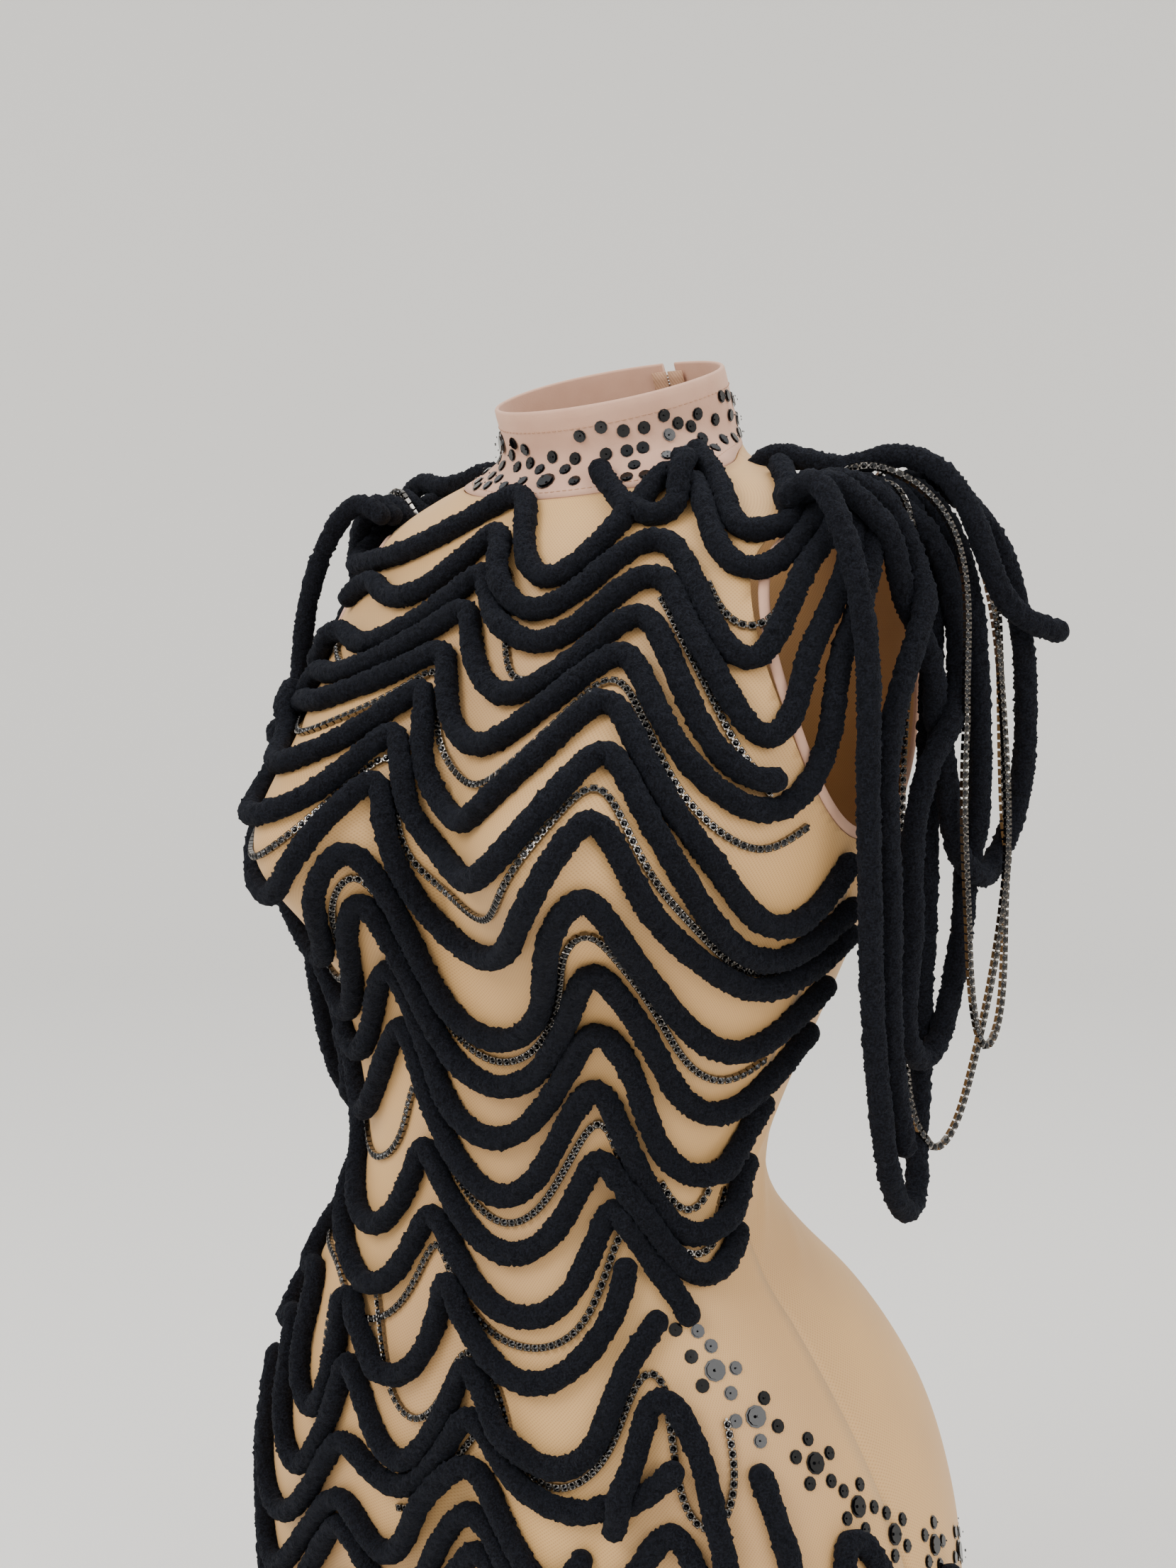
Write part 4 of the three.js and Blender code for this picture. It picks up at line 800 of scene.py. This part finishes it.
# The fringe hangs from each shoulder tip, as [outwards from the tip, y, z] in mm.
shoulder_tip = 139
fringe = {
    "loop_1": [(0, -16, -6), (13, -22, -20), (27, -26, -48), (36, -28, -90), (37, -29, -140),
               (37, -26, -190), (37, -23, -240), (37, -14, -290), (37, -3, -326), (36, 12, -342),
               (33, 27, -334), (29, 34, -300), (26, 39, -250), (26, 43, -200), (27, 40, -150),
               (29, 38, -100), (29, 40, -60), (24, 39, -30), (11, 38, -12), (0, 38, -7)],
    "loop_2": [(0, -7, -6), (17, 0, -22), (31, 10, -58), (39, 26, -98), (40, 34, -142),
               (42, 38, -175), (43, 50, -190), (44, 64, -192), (46, 80, -180), (49, 90, -150),
               (51, 89, -110), (49, 80, -60), (33, 66, -20), (13, 60, -6), (0, 56, -6)],
    "strand_3": [(0, 2, -6), (19, 16, -24), (33, 20, -50), (40, 6, -80), (39, -12, -110),
               (38, -16, -145), (38, -10, -190), (38, -10, -240), (38, -3, -280), (37, 8, -310)],
    "loop_4": [(0, 20, -6), (21, 32, -22), (37, 41, -60), (43, 38, -104), (40, 18, -134),
               (37, 8, -173), (37, 12, -211), (36, 6, -240), (36, 9, -264), (36, 22, -274),
               (36, 37, -268), (38, 46, -240), (41, 54, -200), (42, 62, -160), (42, 60, -110),
               (39, 56, -60), (25, 50, -20), (0, 47, -6)],
    "strand_5": [(0, 38, 3), (21, 44, 2), (39, 48, -16), (50, 49, -43), (54, 55, -63), (59, 66, -73),
               (65, 82, -77), (68, 92, -78)],
    "chain_6": [(0, 11, -1), (21, 22, -6), (41, 30, -24), (50, 32, -55), (51, 31, -98),
               (51, 31, -160), (51, 36, -201), (51, 42, -246), (51, 55, -274), (51, 68, -262),
               (49, 76, -206), (46, 76, -138), (44, 76, -86), (42, 74, -50), (33, 72, -22),
               (14, 68, -4), (0, 66, 0)],
    "chain_7": [(0, 29, -7), (15, 28, -12), (28, 26, -34), (29, 22, -80), (26, 20, -130),
               (27, 19, -190), (28, 20, -250), (30, 23, -290), (31, 32, -311), (33, 42, -321),
               (37, 52, -311), (43, 58, -279), (51, 61, -235), (56, 64, -178), (50, 68, -111),
               (44, 67, -62), (29, 59, -14), (13, 52, 4), (0, 50, 3)],
}
shoulder_cord = [(-55, 30, 10), (-39, 30, 3), (-23, 30, -2), (-9, 30, -6)]
# Each end is sewn in this far inwards from the tip, under the rows that cross the shoulder. The
# cord along the shoulder seam runs on over the tip as one of the fringe's outer strands.
tuck, tuck_height = 16, -22
seam_tuck = [(-61, 27, -6)]
seam_strand = seam_tuck + shoulder_cord + fringe.pop("strand_5")


def from_tip(points, sign):
    return [(sign * (shoulder_tip + x), y, z) for x, y, z in points]


for side, sign in (("left", 1), ("right", -1)):
    hang(f"plush_{side}_shoulder_cord", from_tip(seam_strand, sign), "cord",
         [f"{side}_shoulder_cord", f"{side}_fringe_strand_5"], body=side + "_fringe")
    for name, points in fringe.items():
        kind = "chain" if name.startswith("chain") else "cord"
        run = [(-tuck, points[0][1], tuck_height)] + points
        if points[-1][0] < tuck:
            run.append((-tuck, points[-1][1], tuck_height))
        hang(f"{side}_fringe_{name}_strand", from_tip(run, sign), kind, [f"{side}_fringe_{name}"],
             body=side + "_fringe")


# Strands lie beside each other: where two come closer than their thickness they are eased apart,
# and where they cross one is lifted over the other. Pile gives a little, so cords may press in.
pile_gives, crossing_gap, most_step, most_lift = 0.93, 1.5, 1.5, 9
easing, smoothing, homing, settling = 0.28, 0.12, 0.01, 0.99
pair_reach, own_neighbours = 22, 5


def settle_strands(rounds):
    lengths = [len(s["z"] if s["sewn"] else s["at"]) for s in strands]
    radius = {"cord": cord_diameter / 2, "chain": chain_diameter / 2}
    size = np.repeat([radius[s["kind"]] for s in strands], lengths)
    thick = size > chain_diameter / 2
    owner = np.repeat(np.arange(len(strands)), lengths)
    sewn = np.array([strands[i]["sewn"] for i in owner])
    count = len(owner)
    angle, z, lift = np.zeros(count), np.full(count, -100.0), np.zeros(count)
    free, ends = np.zeros((count, 3)), np.zeros(count, bool)
    first = 0
    for s, length in zip(strands, lengths):
        last = first + length
        s["span"] = (first, last)
        if s["sewn"]:
            angle[first:last], z[first:last] = s["angle"], s["z"]
        else:
            free[first:last] = s["at"]
            ends[[first, first + 1, last - 2, last - 1]] = True
        first = last
    seat = np.where(thick, size - 0.9, size + 0.4)
    out = across_body(angle, z)[2]
    at = np.where(sewn[:, None], on_body(angle, z) + out * seat[:, None], free)
    start = at.copy()
    pairs = []
    for first in range(0, count, 400):
        gap = np.linalg.norm(at[first:first + 400, None] - at[None, :], axis=2)
        i, j = np.nonzero(gap < pair_reach)
        i += first
        keep = (j > i) & ((owner[i] != owner[j]) | (j - i > own_neighbours))
        pairs.append(np.stack([i[keep], j[keep]], 1))
    i, j = np.vstack(pairs).T
    least = (size[i] + size[j]) * np.where(thick[i] & thick[j], pile_gives, 1.0)
    inner = (owner[1:-1] == owner[:-2]) & (owner[1:-1] == owner[2:])
    for _ in range(rounds):
        gap = at[j] - at[i]
        length = np.maximum(np.linalg.norm(gap, axis=1), 1e-6)
        close = np.maximum(least - length, 0) * easing
        crossing = length < crossing_gap
        way = gap / length[:, None]
        way[crossing] = out[i[crossing]]
        step = np.zeros((count, 3))
        np.add.at(step, i, -way * close[:, None])
        np.add.at(step, j, way * close[:, None])
        step /= np.maximum(np.linalg.norm(step, axis=1, keepdims=True) / most_step, 1)
        step[1:-1][inner] += smoothing * (at[:-2] + at[2:] - 2 * at[1:-1])[inner]
        step += (start - at) * homing
        step[ends] = 0
        around, up, out = across_body(angle, z)
        angle = angle + np.where(sewn, np.sum(step * around, 1) / np.sum(around ** 2, 1), 0)
        z = z + np.where(sewn, np.sum(step * up, 1) / np.sum(up ** 2, 1), 0)
        lift = np.clip(lift * settling + np.where(sewn, np.sum(step * out, 1), 0), 0, most_lift)
        free = free + step
        out = across_body(angle, z)[2]
        at = np.where(sewn[:, None], on_body(angle, z) + out * (seat + lift)[:, None], free)
    for s in strands:
        first, last = s["span"]
        s["path"], s["out"] = at[first:last] * MM, out[first:last]


settle_strands(36)

# ---- plush cords ----
# Chenille cord: a dense core with a deep short pile, 10.4 mm over the pile. Near black, with almost
# no shine except where the pile catches the light at its edge.
plush, shader = new_material("blue_black_chenille", Roughness=1.0, Specular_IOR_Level=0.15,
                             Sheen_Weight=0.25, Sheen_Roughness=0.5, Sheen_Tint=linear("#3e4350"))
place = put(plush, "ShaderNodeTexCoord")
tufts = put(plush, "ShaderNodeTexNoise", {"Vector": (place, "Object"), "Scale": 1000.0, "Detail": 3.0,
                                          "Roughness": 0.7})
# The same noise sets the bump and the colour: the pile is darkest where the bump lies low, as painted shade
# in its hollows, and lighter on the raised tufts.
depth = put(plush, "ShaderNodeMapRange", {"Value": (tufts, "Fac"), "From Min": 0.4, "From Max": 0.64})
pile = put(plush, "ShaderNodeMix", {"Factor": (depth, "Result"), 6: linear("#020204"),
                                    7: linear("#181a21")}, data_type="RGBA")
feed(plush, pile, 2, shader, "Base Color")
relief = put(plush, "ShaderNodeBump", {"Height": (tufts, "Fac"), "Distance": 0.9 * MM, "Strength": 1.0})
feed(plush, relief, "Normal", shader, "Normal")
pile_step = 1.1 * MM
pile_sides = 24


def frames_along(path):
    """Directions along a path, and two across it that turn as little as possible."""
    along = np.gradient(path, axis=0)
    along /= np.linalg.norm(along, axis=1, keepdims=True)
    side = np.zeros_like(path)
    guess = np.array([0.01, 0.01, 1.01])
    for i, direction in enumerate(along):
        guess = guess - direction * np.dot(guess, direction)
        guess = guess / max(np.linalg.norm(guess), 1e-9)
        side[i] = guess
    return along, side, np.cross(along, side)


fine_step = 0.5 * MM
# Slow swells along a cord: wavelength in metres and share of its radius.
swells = ((0.031, 0.025), (0.0127, 0.02), (0.0061, 0.012))
tuft_sizes, tuft_spread, tuft_most = (1.9 * MM, 0.9 * MM), 0.3, 0.75


def pile_tube(name, path, seed):
    """A cord with round ends and an uneven pile, along a path in metres."""
    line, _, _ = resample(smooth_points(path, fine_step), pile_step)
    for _ in range(2):
        line[1:-1] += 0.25 * (line[:-2] + line[2:] - 2 * line[1:-1])
    along, side, across = frames_along(line)
    count = len(line)
    run = np.arange(count) * pile_step
    radius = np.full(count, cord_diameter / 2 * MM)
    for wave, amount in swells:
        radius *= 1 + amount * np.sin(run / wave * 2 * math.pi + seed * 2.4 + wave * 900)
    end = np.minimum(run, run[-1] - run) / (cord_diameter / 2 * MM)
    radius *= np.sqrt(np.clip(1 - (1 - np.minimum(end + 0.12, 1)) ** 2, 0.02, 1))
    turn = np.arange(pile_sides) * 2 * math.pi / pile_sides
    ring = side[:, None] * np.cos(turn)[:, None] + across[:, None] * np.sin(turn)[:, None]
    points = line[:, None] + ring * radius[:, None, None]
    coarse, fine = [(points.reshape(-1, 3) / size).tolist() for size in tuft_sizes]
    bumps = np.array([0.7 * noise.noise(p) + noise.noise(q) for p, q in zip(coarse, fine)])
    tufted = np.random.default_rng(100 + seed).normal(0, tuft_spread, (count, pile_sides))
    tufted = tufted.clip(-tuft_most, tuft_most) + 0.7 * bumps.reshape(count, pile_sides)
    points += ring * (tufted * np.minimum(end, 1)[:, None])[:, :, None] * MM
    faces = [tuple(f) for f in grid_faces(count, pile_sides, round_columns=True).tolist()]
    tips = [line[0] - along[0] * 0.3 * MM, line[-1] + along[-1] * 0.3 * MM]
    verts = np.vstack([points.reshape(-1, 3), tips])
    foot, head = count * pile_sides, count * pile_sides + 1
    top = (count - 1) * pile_sides
    faces += [(foot, (k + 1) % pile_sides, k) for k in range(pile_sides)]
    faces += [(head, top + k, top + (k + 1) % pile_sides) for k in range(pile_sides)]
    return add_piece(name, verts, faces, [plush]), line


def fasten(piece, strand):
    """Sewn strands ride on the bodice. Free ones are left unparented, with their transform baked into the
    mesh.
    """
    if strand.get("body"):
        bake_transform(piece)
    else:
        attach(piece, "bodice")
    if strand["nodes"]:
        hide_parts(*strand["nodes"])


for number, strand in enumerate(strands):
    if strand["kind"] == "cord":
        piece, line = pile_tube(strand["name"], strand["path"], number)
        fasten(piece, strand)

# ---- cup chains ----
# Gunmetal cup chain: a black faceted stone held by four prongs in each square cup, the cups 4.1 mm
# apart and joined by small links. One cup with its stone and link is modelled and copied.
gunmetal, shader = new_material("gunmetal_plated_brass", Base_Color=linear("#7d7872"), Metallic=1.0,
                                Roughness=0.22)
jet_glass, shader = new_material("jet_glass", Base_Color=linear("#060608"), Roughness=0.05,
                                 Specular_IOR_Level=0.4)
cup_pitch = 4.1 * MM
cup_width, cup_depth = 3.2 * MM, 2.0 * MM
bpy.ops.object.select_all(action="DESELECT")
bpy.ops.mesh.primitive_cube_add(size=1, location=(0, 0, cup_depth / 2 - chain_diameter / 2 * MM))
cup = bpy.context.object
cup.scale = (cup_width, cup_width, cup_depth)
bpy.ops.object.transform_apply(location=True, rotation=False, scale=True)
cup.data.materials.append(gunmetal)
cup.data.materials.append(jet_glass)
bpy.ops.object.mode_set(mode="EDIT")
bpy.ops.mesh.select_all(action="DESELECT")
bpy.ops.object.mode_set(mode="OBJECT")
for face in cup.data.polygons:
    face.select = face.normal.z > 0.9
bpy.ops.object.mode_set(mode="EDIT")
bpy.ops.mesh.inset(thickness=0.22 * MM, depth=-0.35 * MM)
bpy.ops.object.mode_set(mode="OBJECT")
bpy.ops.mesh.primitive_cone_add(vertices=8, radius1=1.4 * MM, radius2=0.4 * MM, depth=0.9 * MM,
                                location=(0, 0, cup_depth - chain_diameter / 2 * MM + 0.1 * MM))
gem = bpy.context.object
bpy.ops.object.transform_apply(location=True, rotation=False, scale=False)
gem.data.materials.append(gunmetal)
gem.data.materials.append(jet_glass)
for face in gem.data.polygons:
    face.material_index = 1
bpy.ops.object.select_all(action="DESELECT")
bpy.ops.mesh.primitive_cube_add(size=1, location=(cup_pitch / 2, 0, -0.6 * MM))
link = bpy.context.object
link.scale = (1.3 * MM, 1.0 * MM, 0.6 * MM)
bpy.ops.object.transform_apply(location=True, rotation=False, scale=True)
link.data.materials.append(gunmetal)
link.data.materials.append(jet_glass)
bpy.ops.object.select_all(action="DESELECT")
for part in (cup, gem, link):
    part.select_set(True)
bpy.context.view_layer.objects.active = cup
bpy.ops.object.join()
cup_template = template_of(cup)

for strand in strands:
    if strand["kind"] != "chain":
        continue
    line, _, _ = resample(smooth_points(strand["path"], fine_step), 1.0 * MM)
    if strand["sewn"]:
        run = np.linspace(0, 1, len(strand["path"]))
        fine = np.linspace(0, 1, len(line))
        out = np.stack([np.interp(fine, run, strand["out"][:, k]) for k in range(3)], -1)
    else:
        out = np.tile(np.array([1.0 if line[0, 0] > 0 else -1.0, -0.35, 0.25]), (len(line), 1))
    spots, axes = along_line(line, cup_pitch, out)
    chain = copies(strand["name"], cup_template, (spots, axes), [gunmetal, jet_glass])
    fasten(chain, strand)

# ---- flat-back stones ----
# Jet-black faceted flat-backs are glued to the collar, over each hip in a slanting band and down
# the centre back. One stone is modelled and scaled: a round foot, a low rim, steep facets and a
# small table.
small_stone, large_stone = 6.3, 9.8
bpy.ops.object.select_all(action="DESELECT")
bpy.ops.mesh.primitive_cylinder_add(vertices=10, radius=0.5, depth=0.06, location=(0, 0, 0.03))
stone = bpy.context.object
bpy.ops.object.transform_apply(location=True, rotation=False, scale=False)
for width, rise in ((0.8, 0.09), (0.14, 0.24)):
    for face in stone.data.polygons:
        face.select = False
    top = max(stone.data.polygons, key=lambda f: f.center.z)
    top.select = True
    radius = max(math.hypot(*stone.data.vertices[i].co[:2]) for i in top.vertices)
    bpy.ops.object.mode_set(mode="EDIT")
    bpy.ops.mesh.extrude_region_move(TRANSFORM_OT_translate={"value": (0, 0, rise)})
    bpy.ops.transform.resize(value=(width / 2 / radius,) * 2 + (1,), center_override=(0, 0, 0))
    bpy.ops.object.mode_set(mode="OBJECT")
stone.data.materials.append(jet_glass)
stone_template = template_of(stone)


def glue_stones(name, places, offset):
    """Stones at (angle, drop, diameter) places, lying flat on the cloth."""
    angle, drop, size = np.array(places, float).T
    around, up, out = across_body(angle, -drop)
    x = around / np.linalg.norm(around, axis=1, keepdims=True)
    axes = np.stack([x, np.cross(out, x), out], 1) * (size * MM)[:, None, None]
    spots = off_body(angle, -drop, np.full(len(angle), offset)) * MM
    piece = copies(name, stone_template, (spots, axes), [jet_glass])
    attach(piece, "bodice")
    return piece


# The collar's stones lie at random, closest together near the neck seam.
chance = np.random.default_rng(7)
most_stones, last_angle, large_share, collar_gap, hip_gap = 150, 168, 0.12, 0.9, 0.3
collar_stones = []
while len(collar_stones) < most_stones:
    angle = chance.uniform(-last_angle, last_angle)
    share = chance.beta(1.0, 1.7)
    size = large_stone if chance.random() < large_share else small_stone
    foot, head = neck_seam(np.array([angle]))[0], neck_seam(np.array([angle]), collar_height)[0]
    z = foot + 3 + (head - foot - 14) * share * 1.05
    spot = on_body(angle, z)
    if all(np.linalg.norm(spot - on_body(a, -d)) > (size + s) / 2 + collar_gap
           for a, d, s in collar_stones):
        collar_stones.append((angle, -z, size))
    elif chance.random() < 0.002:
        break
glue_stones("collar_stones", collar_stones, 0.75)

# Over each hip every large stone has a ring of five small ones, like a flower.
petals, petal_reach = 5, 9.6
hip_large = [(60, 399), (66, 418), (77, 440), (84, 462), (90, 480), (98, 496), (110, 512), (130, 522),
             (150, 528), (172, 530)]
hip_small = [(57, 370), (54, 383), (60, 384)]
for sign, side in ((1, "left"), (-1, "right")):
    stones = [(angle, drop, large_stone) for angle, drop in hip_large]
    stones += [(angle, drop, small_stone) for angle, drop in hip_small]
    for n, (angle, drop) in enumerate(hip_large):
        step = np.linalg.norm(across_body(np.array([angle]), np.array([-drop]))[0][0])
        for k in range(petals):
            turn = math.radians(360 / petals * k + 31 * n)
            stones.append((angle + petal_reach * math.cos(turn) / step,
                           drop + petal_reach * math.sin(turn), small_stone))
    kept = []
    for angle, drop, size in stones:
        spot = on_body(angle, -drop)
        if all(np.linalg.norm(spot - on_body(a, -d)) > (size + s) / 2 + hip_gap for a, d, s in kept):
            kept.append((angle, drop, size))
    if sign < 0:
        kept = [(-angle - (mirror_shift if angle < 80 else 0), drop, size) for angle, drop, size in kept]
    glue_stones(f"hip_stones_{side}", kept, 0.1)
back_drops = np.arange(322, 520, small_stone + 0.6)
glue_stones("back_seam_stones", [(180, drop, small_stone) for drop in back_drops], 0.1)

# ---- floor and light ----
# A pale floor that curves up into a wall all round, and three large soft lamps.
floor_paint, shader = new_material("matt_wall_paint", Base_Color=linear("#eeebe6"), Roughness=0.9)
floor_level, floor_radius, cove_radius, wall_height = -0.72, 2.6, 1.2, 1.6
bpy.ops.object.select_all(action="DESELECT")
bpy.ops.mesh.primitive_circle_add(vertices=96, radius=floor_radius, fill_type="NGON",
                                  location=(0, 0, floor_level))
floor = bpy.context.object
floor.name = "floor"
bpy.ops.object.transform_apply(location=True, rotation=False, scale=False)
bpy.ops.object.mode_set(mode="EDIT")
bpy.ops.mesh.select_all(action="SELECT")
bpy.ops.mesh.region_to_loop()
cove_turns = np.linspace(0, math.pi / 2, 9)
rises = [(cove_radius * math.sin(t), cove_radius * (1 - math.cos(t))) for t in cove_turns]
for (out0, up0), (out1, up1) in zip(rises, rises[1:] + [(cove_radius, cove_radius + wall_height)]):
    bpy.ops.mesh.extrude_edges_move(TRANSFORM_OT_translate={"value": (0, 0, up1 - up0)})
    wider = (floor_radius + out1) / (floor_radius + out0)
    bpy.ops.transform.resize(value=(wider, wider, 1), center_override=(0, 0, 0))
bpy.ops.object.mode_set(mode="OBJECT")
only(floor)
bpy.ops.object.shade_smooth()
floor.data.materials.append(floor_paint)
floor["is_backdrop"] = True

world = bpy.data.worlds.new("studio")
bpy.context.scene.world = world
world.use_nodes = True
world.node_tree.nodes["Background"].inputs["Color"].default_value = linear("#e9ecef")
world.node_tree.nodes["Background"].inputs["Strength"].default_value = 1.25
lamps = (("key_lamp", (-0.5, -2.0, 1.5), 1.3, 48), ("fill_lamp", (1.9, -0.7, 0.6), 1.2, 20),
         ("top_lamp", (0.3, 0.6, 2.1), 1.5, 28))
for name, place, width, power in lamps:
    lamp = bpy.data.objects.new(name, bpy.data.lights.new(name, "AREA"))
    bpy.context.scene.collection.objects.link(lamp)
    lamp.location = place
    lamp.rotation_euler = (Vector((0, 0, -0.2)) - Vector(place)).to_track_quat("-Z", "Y").to_euler()
    lamp.data.size, lamp.data.energy = width, power

# ---- bounds of the finished model ----
low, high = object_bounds()
